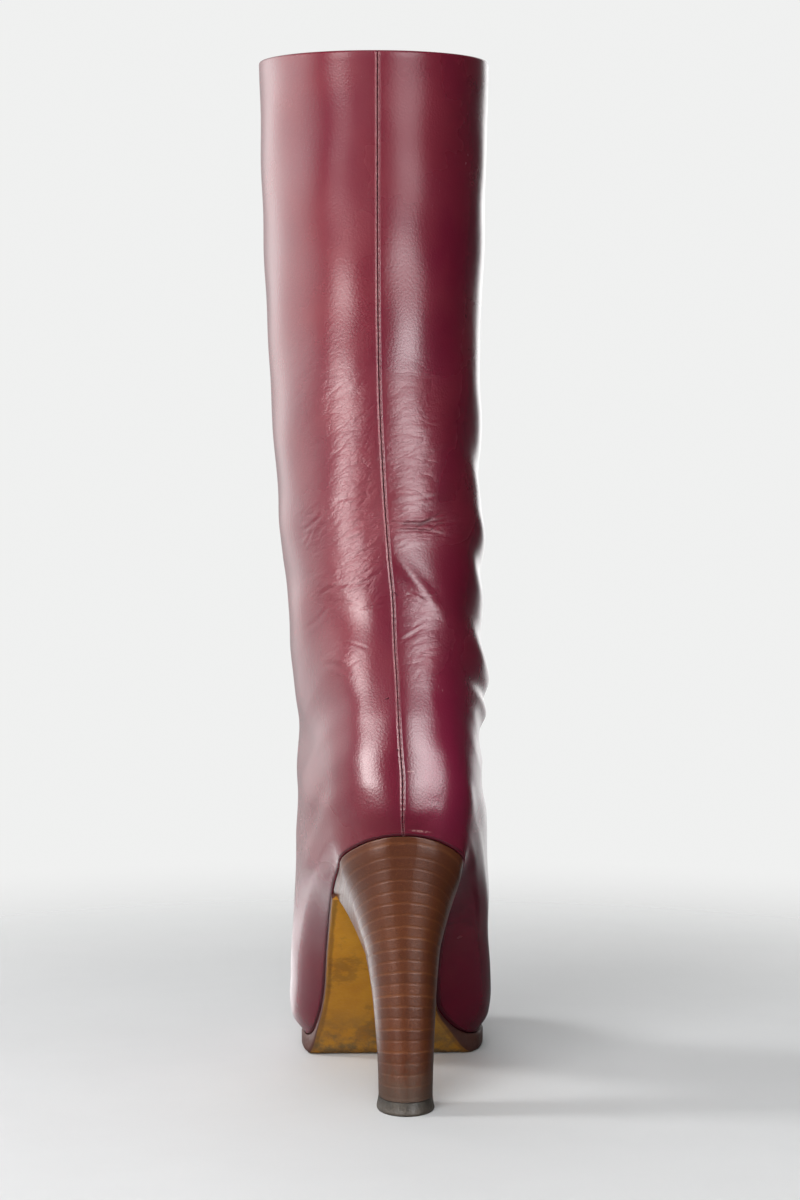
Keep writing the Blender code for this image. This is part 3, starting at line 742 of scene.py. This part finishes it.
# Rings of a sole: along the lateral edge, across, back along the medial edge and across again. The edges
# follow the feather edge, moved out by reach and square to the sole line by drop.
def soleRings(turn, reach, drop, across):
    edges = []
    for side in (-1, 1):
        x, y = featherEdge(turn, side, reach)
        aside, down = soleDown(y)
        edges.append(np.stack([x, y + aside * drop, soleHeight(y) + down * drop], axis=-1))
    lateral, medial = edges
    share = across[None, :, None]
    there = lateral[:, -1:] * (1 - share) + medial[:, -1:] * share
    back = medial[:, :1] * (1 - share) + lateral[:, :1] * share
    return np.concatenate([lateral, there, medial[:, ::-1], back], axis=1)


# Shares strictly between 0 and 1, in equal steps
def acrossShares(count):
    return np.linspace(0, 1, count + 2)[1:-1]


# Insole: the sock that closes the foot from below
insole = {
    "thick": 2.5,
    "gap": 0.3,                      # above the sole
    "inside": 2.3,                   # the feather edge
    "edge": [(0, 0), (0.25, 0.7), (0.6, 1)],         # drawn in, share of the thickness
    "turnSteps": 90,
    "across": 16,
}


# The ring goes up the lateral edge and first across the top
def makeInsole(material):
    turn = np.linspace(0, math.pi, insole["turnSteps"])[:, None]
    drawn, share = np.array(insole["edge"]).T[:, None, :]
    rise = share * insole["thick"] + insole["gap"]
    rings = soleRings(turn, -insole["inside"] - drawn, -rise, acrossShares(insole["across"]))
    faces = gridFaces(*rings.shape[:2])
    piece = makePiece("insoleSock", rings, faces, material, sharp=40)
    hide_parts("insole")
    return piece


insoleSock = makeInsole(makeLiningLeather("insoleLeather"))

# Outsole: tan leather, thick under the ball and thin at the waist
outsole = {
    "breast": 50.0,
    # place along the foot, depth
    "depth": [(50, 3), (118, 3), (128, 3.6), (134, 5.1), (140, 7.99), (143, 8.755), (146, 8.5),
              (215.5, 8.5)],
    # place along the foot, width beyond the feather edge
    "ledge": [(50, 0), (136, 0), (150, 1.4), (160, 2)],
    # share of the depth, drawn in
    "edge": [(0, 0.5), (0.1, 0), (0.82, 0.1), (1, 1.2)],
    "turnSteps": 120,
    "edgeSteps": 9,
    "across": 44,
}


# The ring goes down the lateral edge and first across the underside
def makeOutsole(material):
    breast = float(turnOf(outsole["breast"], last["toeFront"]))
    turn = np.linspace(breast, math.pi, outsole["turnSteps"])[:, None]
    ahead = along(0, last["toeFront"], turn)
    deep, ledge = tableCurve(outsole["depth"], 1, ahead), tableCurve(outsole["ledge"], 1, ahead)
    share = np.linspace(0, 1, outsole["edgeSteps"])[None, :]
    drawn = tableCurve(outsole["edge"], 1, share)
    across = acrossShares(outsole["across"])
    rings = soleRings(turn, ledge - drawn, deep * share, across)
    rows, columns = rings.shape[:2]
    # inland: millimetres from the edge on the underside, below nought up the edge
    corner = outsole["edgeSteps"] - 1
    span = np.linalg.norm(rings[:, corner + len(across) + 1] - rings[:, corner], axis=-1)[:, None]
    height = -(deep * (1 - share))
    inland = [height, span * np.minimum(across, 1 - across), height[:, ::-1], -deep + 0 * across[None, :]]
    values = {"inland": np.concatenate(inland, axis=1), "ahead": np.broadcast_to(ahead, (rows, columns))}
    faces = gridFaces(rows, columns, turned=True) + [list(range(columns))]
    piece = makePiece("outsoleLeather", rings, faces, material, values, sharp=50)
    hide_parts("outsole")
    return piece


tan = {
    "gold": (0.70, 0.320, 0.024),
    "amber": (0.58, 0.240, 0.016),
    "stain": (0.085, 0.040, 0.018),
    "grime": (0.115, 0.082, 0.040),
    "dressing": (0.075, 0.028, 0.020),         # colour on the cut edge
    "scuffed": (0.40, 0.27, 0.12),
    # where it darkens and where it is trodden, along the foot from and to
    "darker": (62.0, 138.0),
    "trodden": (116.0, 140.0),
}


def makeTan():
    material, tree, shader = newMaterial("tanSole", **{"Specular IOR Level": 0.2})
    grain = useGroup(tree, grainGroup, Cells=700.0, Blotches=55.0)
    spot = objectPlace(tree)
    inland, ahead = pointValue(tree, "inland"), pointValue(tree, "ahead")
    colour = mixColour(grain["Blotch"], tan["gold"], tan["amber"])
    # water rings and smears, and grime trodden into the ball
    rings = noiseNode(spot, 38.0, 5.0, 0.65)
    smear = mapRange(rings, 0.52, 0.60, 0.0, 0.35)
    colour = mixColour(smear, colour, tan["stain"])
    colour = mixColour(mapRange(ahead, *tan["darker"], 0.0, 0.45), colour, tan["stain"])
    ball = mapRange(ahead, *tan["trodden"])
    patch = mapRange(noiseNode(spot, 120.0, 5.0, 0.7), 0.36, 0.62)
    trodden = times(ball, patch, 0.85)
    colour = mixColour(trodden, colour, tan["grime"])
    # brown margin, then the dressed edge
    wander = timesPlus(noiseNode(spot, 160.0, 3.0), 2.4, 0.4)
    margin = mapRange(mathNode("DIVIDE", inland, wander), 1.3, 0.5, 0.0, 0.5)
    colour = mixColour(margin, colour, tan["stain"])
    cutEdge = mapRange(inland, -0.2, -0.5)
    colour = mixColour(cutEdge, colour, tan["dressing"])
    scuff = useGroup(tree, scuffGroup, Fineness=700.0, Share=0.5)["Scuff"]
    colour = mixColour(times(scuff, 0.35), colour, tan["scuffed"])
    height = times(mathNode("ADD", grain["Height"], rings), 0.00012)
    wire(shader, colour, height, timesPlus(trodden, 0.25, 0.42))
    return material


outsoleLeather = makeOutsole(makeTan())

# Heel: a stack of leather lifts, fanned by planes that tilt more towards the seat
heel = {
    # back y, back z, front y, front z, half width, middle, shares of the seat outline and the sole's curve
    "sections": [(9.8, 6.3, 37.2, 6.3, 12.1, 3.4, 0, 0), (9.6, 20, 37.2, 18, 12.4, 3.4, 0, 0),
                 (9, 39, 37.4, 33, 13.2, 3.2, 0, 0), (8, 59, 38.2, 49, 14.4, 2.8, 0, 0),
                 (6.4, 79, 40.2, 64, 16.4, 2.2, 0, 0), (4.6, 97, 42.6, 75, 19, 1.8, 0.10, 0),
                 (3, 111, 45, 83, 21.4, 1.6, 0.26, 0), (1.9, 119.5, 46.9, 89.6, 24.2, 1.5, 0.52, 0),
                 (0.4, 126.46, 49.7, 92.96, 26.5, 1.5, 1, 1)],
    "round": 0.62,                   # share of a section's length taken by its round back
    "narrowing": 0.05,               # how much the flanks draw in towards the breast
    "rim": 0.4,                      # seat inside the feather edge
    "gap": 0.3,
    "levelStops": (0, 7, 8),
    "levelSteps": (84, 24),
    "flankSteps": 34,
    "rimRound": 1.0,                 # radius of the seat's edge
    "rimShare": 0.6,                 # of the full rounding
    "seatMiddle": (1.5, 26, 0),
    "lift": 5.2,                     # thickness of one leather lift
    "firstStripe": 122.4,            # height of the top stripe at the back
}


# Ring of a heel section: half an ellipse at the back, then flanks that are nearly straight
def heelRings(columns, share):
    columns = (np.asarray(column, float)[:, None] for column in columns)
    backY, backZ, frontY, frontZ, half, middle, seat, sag = columns
    y = backY + (frontY - backY) * share
    plane = backZ + (frontZ - backZ) * share
    z = plane + sag * (soleHeight(y) - heel["gap"] - plane)
    back = np.clip(share / heel["round"], 0, 1)
    front = np.clip((share - heel["round"]) / (1 - heel["round"]), 0, 1)
    flank = np.sqrt(1 - (1 - back) ** 2) * (1 - heel["narrowing"] * front * front)
    seatMiddle, seatHalf = outline(last["feather"], turnOf(np.maximum(y, 0), last["toeFront"]))
    seatHalf = np.where(share > 0, np.maximum(seatHalf - heel["rim"], 0), 0)
    centre = (1 - seat) * middle + seat * seatMiddle
    width = (1 - seat) * half * flank + seat * seatHalf
    lateral, medial = (np.stack([centre + side * width, y, z], axis=-1) for side in (-1, 1))
    return np.concatenate([lateral, medial[:, :0:-1]], axis=1)


def flankShares(steps):
    return 1 - np.cos(np.linspace(0, math.pi / 2, steps + 1))


# Rings closed by strips across both ends
def makeFlanked(name, rings, steps, material, values=None, sharp=40):
    rows, columns = rings.shape[:2]
    faces = gridFaces(rows, columns, turned=True)
    faces += ladderFaces(0, steps, columns)
    faces += ladderFaces((rows - 1) * columns, steps, columns, turned=True)
    return makePiece(name, rings, faces, material, values, sharp)


def makeHeel(material):
    level = spread(heel["levelStops"], heel["levelSteps"])
    index = np.arange(len(heel["sections"]))
    columns = [smoothCurve(index, column, level) for column in zip(*heel["sections"])]
    rings = heelRings(columns, flankShares(heel["flankSteps"]))
    # the seat's edge is rounded: drawn in by r - sqrt(r^2 - t^2) over its last millimetre
    below = np.clip(1 - np.linalg.norm(rings - rings[-1], axis=-1) / heel["rimRound"], 0, 1)
    drawn = heel["rimRound"] * (1 - np.sqrt(1 - below ** 2)) * heel["rimShare"]
    inward = unit(np.array(heel["seatMiddle"]) - rings * np.array([1, 1, 0]))
    rings = rings + inward * drawn[..., None]
    values = {"layer": np.broadcast_to(columns[1][:, None], rings.shape[:2])}
    piece = makeFlanked("heelStack", rings, heel["flankSteps"], material, values)
    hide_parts("heel")
    return piece


stack = {
    "brown": (0.074, 0.020, 0.008),
    "russet": (0.102, 0.028, 0.009),
    "stripe": (0.200, 0.068, 0.022),
    "black": (0.020, 0.010, 0.007),
    "grime": (0.060, 0.042, 0.030),
    "stripeHalf": 0.48,              # millimetres
    "stripeFade": (1.9, 0.3),        # shares of that
    "waver": 0.9,                    # of the joints, in millimetres
    # painted shade under the seat's rim, between these heights at the back
    "rimShadeLine": (125.6, 126.4),       # heights at the back
}


def makeStack():
    finish = {"Coat Weight": 0.2, "Coat Roughness": 0.14, "Specular IOR Level": 0.25}
    material, tree, shader = newMaterial("stackedLeather", **finish)
    spot = objectPlace(tree)
    layer = pointValue(tree, "layer")
    # lifts are not cut quite level, so their joints wander a little
    below = mathNode("SUBTRACT", layer, heel["firstStripe"] + stack["waver"] / 2)
    count = mathNode("DIVIDE", timesPlus(noiseNode(spot, 70.0), stack["waver"], below), heel["lift"])
    number = mathNode("ROUND", count)
    away = times(mathNode("ABSOLUTE", mathNode("SUBTRACT", count, number)), heel["lift"])
    odd, tint = (addNode(tree, "ShaderNodeTexWhiteNoise", {"W": seed}, noise_dimensions="1D").outputs[0]
                 for seed in (number, mathNode("FLOOR", count)))
    fibres = noiseNode(objectPlace(tree, (1, 1, 3.5)), 520.0, 4.0, 0.7)
    blend = timesPlus(fibres, 0.6, timesPlus(tint, 0.8, -0.2))
    colour = mixColour(blend, stack["brown"], stack["russet"])
    # joints: pale thin stripes, some stronger than others and broken along their length
    line = mapRange(away, *(share * stack["stripeHalf"] for share in stack["stripeFade"]))
    broken = mapRange(noiseNode(objectPlace(tree, (1, 1, 0.2)), 130.0, 3.0, 0.6), 0.3, 0.6, 0.35, 1.0)
    strength = times(timesPlus(odd, 0.4, 0.12), broken)
    colour = mixColour(times(line, strength), colour, stack["stripe"])
    specks = noiseNode(objectPlace(tree, (1, 1, 1.6)), 1500.0, 2.0, 0.6)
    colour = mixColour(mapRange(specks, 0.58, 0.72, 0.0, 0.35), colour, stack["stripe"])
    colour = mixColour(mapRange(specks, 0.42, 0.30, 0.0, 0.5), colour, stack["black"])
    # painted shade: a dark line under the seat's rim, where the upper meets the heel; then scuffs, and
    # street grime at the foot
    colour = mixColour(mapRange(layer, *stack["rimShadeLine"], 0.0, 0.65), colour, stack["black"])
    scuff = times(useGroup(tree, scuffGroup, Fineness=1000.0, Share=0.55)["Scuff"], 0.5)
    colour = mixColour(scuff, colour, stack["stripe"])
    dust = times(useGroup(tree, dustGroup, Reach=0.020)["Dust"], 0.8)
    colour = mixColour(dust, colour, stack["grime"])
    rough = timesPlus(most(scuff, dust), 0.3, timesPlus(fibres, 0.12, 0.24))
    pits = times(noiseNode(spot, 2600.0), 0.00006)
    wire(shader, colour, timesPlus(line, -0.00005, pits), rough)
    return material


heelStack = makeHeel(makeStack())

# Top lift: worn rubber under the stack
lift = {
    "thick": 6.0,
    "flare": 0.8,
    "side": [(0, 0.4), (0.12, 1), (0.45, 0.55), (1, 0)],      # share of the thickness, share of the flare
    "rows": 16,
}


def makeTopLift(material):
    share = np.linspace(0, 1, lift["rows"])
    grow = tableCurve(lift["side"], 1, share) * lift["flare"]
    backY, _, frontY, _, half, middle, _, _ = heel["sections"][0]
    z = share * lift["thick"]
    flat = 0 * share
    columns = [backY - grow, z, frontY + grow, z, half + grow, middle + flat, flat, flat]
    rings = heelRings(columns, flankShares(heel["flankSteps"]))
    piece = makeFlanked("topLiftRubber", rings, heel["flankSteps"], material)
    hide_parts("top_lift")
    return piece


rubber = {"dark": (0.014, 0.011, 0.008), "worn": (0.034, 0.026, 0.019), "dust": (0.09, 0.072, 0.055)}


def makeRubber():
    material, tree, shader = newMaterial("wornRubber")
    spot = objectPlace(tree)
    worn = mapRange(noiseNode(spot, 300.0, 5.0, 0.7), 0.35, 0.65)
    colour = mixColour(worn, rubber["dark"], rubber["worn"])
    dust = times(useGroup(tree, dustGroup, Reach=0.005)["Dust"], 0.4)
    colour = mixColour(dust, colour, rubber["dust"])
    scuff = useGroup(tree, scuffGroup, Fineness=900.0, Share=0.6)["Scuff"]
    colour = mixColour(times(scuff, 0.5), colour, rubber["dust"])
    wire(shader, colour, times(noiseNode(spot, 900.0, 4.0, 0.6), 0.00015), timesPlus(worn, 0.2, 0.42))
    return material


topLiftRubber = makeTopLift(makeRubber())


# Capsules: a circle carried along each stitch, its radius sqrt(1 - s^6) at s from -1 to 1 of the half
# length, its middle raised by an arch 1 - s^2
def capsules(middle, run, side, out, halfLong, radius):
    s = np.array(thread["stops"])
    thick = np.sqrt(np.maximum(1 - s ** 6, 0.0004))
    turn = np.arange(thread["sides"]) * 2 * math.pi / thread["sides"]
    raised = radius * thread["arch"] * (1 - s ** 2) - radius * thread["inset"]
    line = middle[:, None] + run[:, None] * (s * halfLong)[:, None] + out[:, None] * raised[:, None]
    ring = side[:, None, None] * np.cos(turn)[:, None] + out[:, None, None] * np.sin(turn)[:, None]
    points = line[:, :, None] + ring * (thick * radius)[:, None, None]
    count, rows, columns = points.shape[:3]
    faces = []
    for start in range(0, count * rows * columns, rows * columns):
        faces += tubeFaces(rows, columns, start)
    return points, faces


# Faces of a tube and of its two ends
def tubeFaces(rows, columns, start):
    ends = start + np.arange(columns)
    return gridFaces(rows, columns, start) + [ends[::-1].tolist(), (ends + (rows - 1) * columns).tolist()]


# Places and directions on the upper where its back seam passes given heights
def seamFrame(height):
    path = upperSurface(np.linspace(0, topRing, 1200), np.zeros(1), np.ones(1))
    path = (path - np.array([0, 1, 0]) * foldHeight(path, np.zeros(1))[..., None])[:, 0]
    middle, above = (np.stack([np.interp(z, path[:, 2], axis) for axis in path.T], axis=-1)
                     for z in (height, height + 0.5))
    run = unit(above - middle)
    side = np.broadcast_to(np.array([1.0, 0, 0]), run.shape)
    out = np.cross(run, side)
    return middle, run, side, out * np.where(out[:, 1:2] > 0, -1, 1)


def makeStitches(material):
    height = np.arange(thread["low"], thread["high"], thread["pitch"])
    middle, run, side, out = seamFrame(height)
    middle = middle - out * tableCurve(thread["sunk"], 1, height)[:, None]
    points, faces = capsules(middle, run, side, out, thread["long"] / 2, thread["radius"])
    return makePiece("seamStitches", points, faces, material)


# Loose ends: tubes along bowed lines on the leather, both ends in it and the middle out by a sine
def makeLooseEnds(material):
    t = np.linspace(0, 1, thread["looseSteps"])
    turn = np.arange(thread["sides"])[:, None] * 2 * math.pi / thread["sides"]
    points, faces = [], []
    for angleA, zA, angleB, zB, bow, reach, radius in thread["loose"]:
        angle = angleA + (angleB - angleA) * t + bow / upper["perDegree"] * np.sin(math.pi * t)
        height = zA + (zB - zA) * t + thread["looseWave"] * bow * np.sin(2 * math.pi * t)
        base = seamFrame(height)[0]
        base[:, 0] += angle * upper["perDegree"]
        path = base - np.array([0, 1, 0]) * (reach * np.sin(math.pi * t) - thread["rooted"])[:, None]
        run = unit(np.gradient(path, axis=0))
        side = unit(np.cross(run, np.array([0, 1.0, 0])))
        out = np.cross(side, run)
        tube = path[:, None] + radius * (side[:, None] * np.cos(turn) + out[:, None] * np.sin(turn))
        rows, columns = tube.shape[:2]
        faces += tubeFaces(rows, columns, len(points) * rows * columns)
        points.append(tube)
    return makePiece("looseThreads", np.array(points), faces, material)


threadLook = {"wine": (0.014, 0.002, 0.005), "worn": (0.060, 0.018, 0.022)}


def makeThread():
    material, tree, shader = newMaterial("wineThread", **{"Roughness": 0.6, "Specular IOR Level": 0.15})
    spot = objectPlace(tree)
    worn = mapRange(noiseNode(spot, 500.0), 0.45, 0.7)
    twist = addNode(tree, "ShaderNodeTexWave", {"Vector": spot, "Scale": 900.0, "Distortion": 1.0})
    height = times(twist.outputs["Fac"], 0.00004)
    wire(shader, mixColour(worn, threadLook["wine"], threadLook["worn"]), height)
    return material


wineThread = makeThread()
seamStitches, looseThreads = makeStitches(wineThread), makeLooseEnds(wineThread)
print("boot dressed")

# Studio: pale floor that fades into a pale surround, soft light from both sides; metres
studio = {
    "floorRadius": 3.0,
    "floorRings": (39, 96),
    "floorFade": (0.20, 0.66),       # from the boot
    "floor": (0.665, 0.675, 0.68),
    # floor as glossy leather mirrors it: behind, more on the lateral side, most close beside the toe,
    # and where the last two begin and end along X and Y
    "mirrored": (0.14, 1.0, 2.8),
    "lateralX": (-0.02, -0.20),
    "lateralY": (-0.30, 0.04),
    "besideX": ((-0.03, -0.08), (-0.26, -0.12)),
    "besideY": (-0.04, 0.08),
    # floor as matt leather gathers its light, on the lateral and medial sides
    "gathered": (1.0, 0.35),
    "gatheredX": (-0.02, 0.06),
    "seen": (0.87, 0.875, 0.87),     # surround as the camera sees it
    "room": 0.04,                    # surround as a light: everywhere,
    "lateral": 0.16,                 # more on the lateral side,
    "lateralWay": (0.1, -0.8),       # from and to, in the direction's X,
    "backdrop": 0.65,                # and most beyond the toe,
    "backdropWay": (0.45, 0.85),     # from and to, in its Y
    "clothFade": {"X": 0.4, "Y": 0.5},         # edges of the soft boxes, shares of their width and height
    "flag": (0.11, -0.025, 0.15, 0.80),        # dark card on the medial side: x, y, width, height
    "flagColour": (0.01, 0.004, 0.006, 1),
    "leg": (-5.0, 50.0, 250.0),      # what the lights are set round and aimed at, in the boot's millimetres
}


def studioMesh(name, points, faces, material):
    mesh = bpy.data.meshes.new(name)
    mesh.from_pydata(points, [], faces)
    mesh.materials.append(material)
    return addObject(name, mesh)


def makePaleFloor():
    material, tree, shader = newMaterial("paleFloor", **{"Roughness": 0.75, "Specular IOR Level": 0.2})
    spot = objectPlace(tree)
    paper = mapRange(noiseNode(spot, 9.0, 6.0, 0.6), 0.3, 0.7)
    colour = mixColour(paper, studio["floor"], tuple(0.97 * v for v in studio["floor"]))
    where = axesOf(spot)
    behind, lateral, beside = studio["mirrored"]
    aside = times(mapRange(where["X"], *studio["lateralX"]), mapRange(where["Y"], *studio["lateralY"]))
    begin, end = studio["besideX"]
    close = times(mapRange(where["X"], *begin), mapRange(where["X"], *end),
                  mapRange(where["Y"], *studio["besideY"], 0.0, beside))
    mirrored = timesPlus(aside, lateral, mathNode("ADD", close, behind))
    gathered = mapRange(where["X"], *studio["gatheredX"], *studio["gathered"])
    ray = addNode(tree, "ShaderNodeLightPath").outputs
    share = addNode(tree, "ShaderNodeMix", {0: ray["Is Diffuse Ray"], 2: 1.0, 3: gathered}).outputs[0]
    share = addNode(tree, "ShaderNodeMix", {0: ray["Is Glossy Ray"], 2: share, 3: mirrored}).outputs[0]
    wire(shader, addNode(tree, "ShaderNodeVectorMath", {0: colour, 3: share}, operation="SCALE").outputs[0])
    near, far = studio["floorFade"]
    tree.links.new(mapRange(vectorLength(spot), far, near), shader.inputs["Alpha"])
    return material


# Disc: radius by angle, rings closer together near the boot as the square of their number
def makeFloor():
    rows, columns = studio["floorRings"]
    radius = studio["floorRadius"] * np.linspace(0, 1, rows + 1)[1:, None] ** 2
    turn = np.linspace(0, 2 * math.pi, columns, endpoint=False)[None, :]
    rings = np.stack([radius * np.cos(turn), radius * np.sin(turn), 0 * radius * turn], axis=-1)
    faces = gridFaces(rows, columns, turned=True) + [list(range(columns))]
    floor = studioMesh("studioFloor", rings.reshape(-1, 3).tolist(), faces, makePaleFloor())


def makeSurround():
    world = bpy.data.worlds.new("studio")
    world.use_nodes = True
    tree = world.node_tree
    tree.nodes.clear()
    way = axesOf(addNode(tree, "ShaderNodeTexCoord").outputs["Generated"])
    lateral = mapRange(way["X"], *studio["lateralWay"], studio["room"], studio["room"] + studio["lateral"])
    backdrop = mapRange(way["Y"], *studio["backdropWay"], 0.0, studio["backdrop"])
    strength = mathNode("ADD", lateral, backdrop)
    lit = addNode(tree, "ShaderNodeBackground", {"Strength": strength})
    seen = addNode(tree, "ShaderNodeBackground", {"Color": (*studio["seen"], 1), "Strength": 1.0})
    camera = addNode(tree, "ShaderNodeLightPath").outputs["Is Camera Ray"]
    both = addNode(tree, "ShaderNodeMixShader", {0: camera, 1: lit.outputs[0], 2: seen.outputs[0]})
    addNode(tree, "ShaderNodeOutputWorld", {"Surface": both.outputs[0]})
    bpy.context.scene.world = world


# Soft boxes: angle to the right of the camera's line, distance from the leg, middle height, width, height,
# watts, colour, and whether it is for the gloss, the body colour or both
softBoxes = {
    "lateralBox": (-42, 0.70, 0.07, 0.48, 0.72, 14.5, (1.0, 0.985, 0.97), "gloss"),
    "medialBox": (35, 0.70, 0.10, 0.60, 0.80, 16.5, (0.98, 0.985, 1.0), "gloss"),
    "lateralLow": (-54, 0.70, -0.02, 0.34, 0.4, 3.0, (1.0, 0.985, 0.97), "gloss"),
    "medialLow": (58, 0.70, -0.02, 0.34, 0.4, 3.4, (0.98, 0.985, 1.0), "gloss"),
    "lateralHigh": (-42, 0.70, 0.66, 0.40, 0.6, 4.5, (1.0, 0.985, 0.97), "gloss"),
    "medialHigh": (35, 0.70, 0.66, 0.60, 0.6, 6.0, (0.98, 0.985, 1.0), "gloss"),
    "medialRim": (158, 1.30, 0.40, 1.30, 1.6, 13.0, (1.0, 1.0, 1.0), "gloss"),
    "key": (-16, 1.6, 1.0, 1.2, 1.0, 34.0, (1.0, 1.0, 1.0), "body"),
    "medialFill": (20, 1.0, 0.12, 0.4, 0.4, 2.4, (1.0, 0.98, 0.99), "body"),
    "lateralPanel": (-88, 1.2, 0.75, 0.28, 0.28, 9.0, (1.0, 1.0, 1.0), "body"),
    "lateralSheen": (-110, 1.2, 0.50, 2.9, 2.4, 60.0, (1.0, 0.99, 0.98), "gloss"),
    "rearFill": (190, 1.5, 0.80, 1.2, 1.2, 6.0, (1.0, 1.0, 1.0), "body"),
    "overhead": (0, 0.35, 1.7, 1.2, 1.2, 4.0, (1.0, 1.0, 1.0), "both"),
}


# Cloth that glows less towards its edges, as the product of a soft step on both axes
def softenEdges(lamp):
    lamp.use_nodes = True
    tree = lamp.node_tree
    spot = axesOf(addNode(tree, "ShaderNodeNewGeometry").outputs["Parametric"])
    glow = 1.0
    for axis, fade in studio["clothFade"].items():
        inside = mathNode("PINGPONG", spot[axis], 0.5)
        glow = times(glow, mapRange(inside, 0.0, fade))
    tree.links.new(glow, tree.nodes["Emission"].inputs["Strength"])


def makeLights():
    leg = place(studio["leg"])
    for name, (angle, distance, height, wide, tall, watts, tint, use) in softBoxes.items():
        turn = math.radians(angle)
        spot = Vector((leg[0] + distance * math.sin(turn), leg[1] - distance * math.cos(turn), height))
        lamp = bpy.data.lights.new(name, "AREA")
        lamp.shape = "RECTANGLE"
        lamp.size, lamp.size_y = wide, tall
        lamp.energy, lamp.color = watts, tint
        made = addObject(name, lamp)
        made.location = spot
        aim = Vector((leg[0], leg[1], height if use == "gloss" else leg[2]))
        made.rotation_euler = (aim - spot).to_track_quat("-Z", "Y").to_euler()
        made.visible_camera = False
        made.visible_diffuse, made.visible_glossy = use != "gloss", use != "body"
        if use == "gloss":
            softenEdges(lamp)


# A dark card beside the boot, which only darkens what its medial side mirrors
def makeFlag():
    x, y, wide, tall = studio["flag"]
    back, front = y - wide / 2, y + wide / 2
    corners = [(x, back, 0), (x, front, 0), (x, front, tall), (x, back, tall)]
    material = newMaterial("darkCard", **{"Base Color": studio["flagColour"], "Roughness": 0.9})[0]
    card = studioMesh("darkCard", corners, [(3, 2, 1, 0)], material)
    card.visible_camera = card.visible_shadow = card.visible_diffuse = False


# Camera: where the picture was taken from, behind the boot and a little to its lateral side
view = {"stand": (-49.0, -1400.0, 334.7), "aim": (1.0, 30.0, 228.0), "lens": 97.0}


def makeCamera():
    data = bpy.data.cameras.new("behind")
    data.lens = view["lens"]
    camera = addObject("behind", data)
    camera.location = place(view["stand"])
    aim = Vector(place(view["aim"]))
    camera.rotation_euler = (aim - camera.location).to_track_quat("-Z", "Y").to_euler()
    bpy.context.scene.camera = camera


makeFloor()
makeFlag()
makeSurround()
makeLights()
makeCamera()
bpy.context.scene.view_settings.view_transform = "Standard"
print("studio set")

bpy.context.view_layer.update()
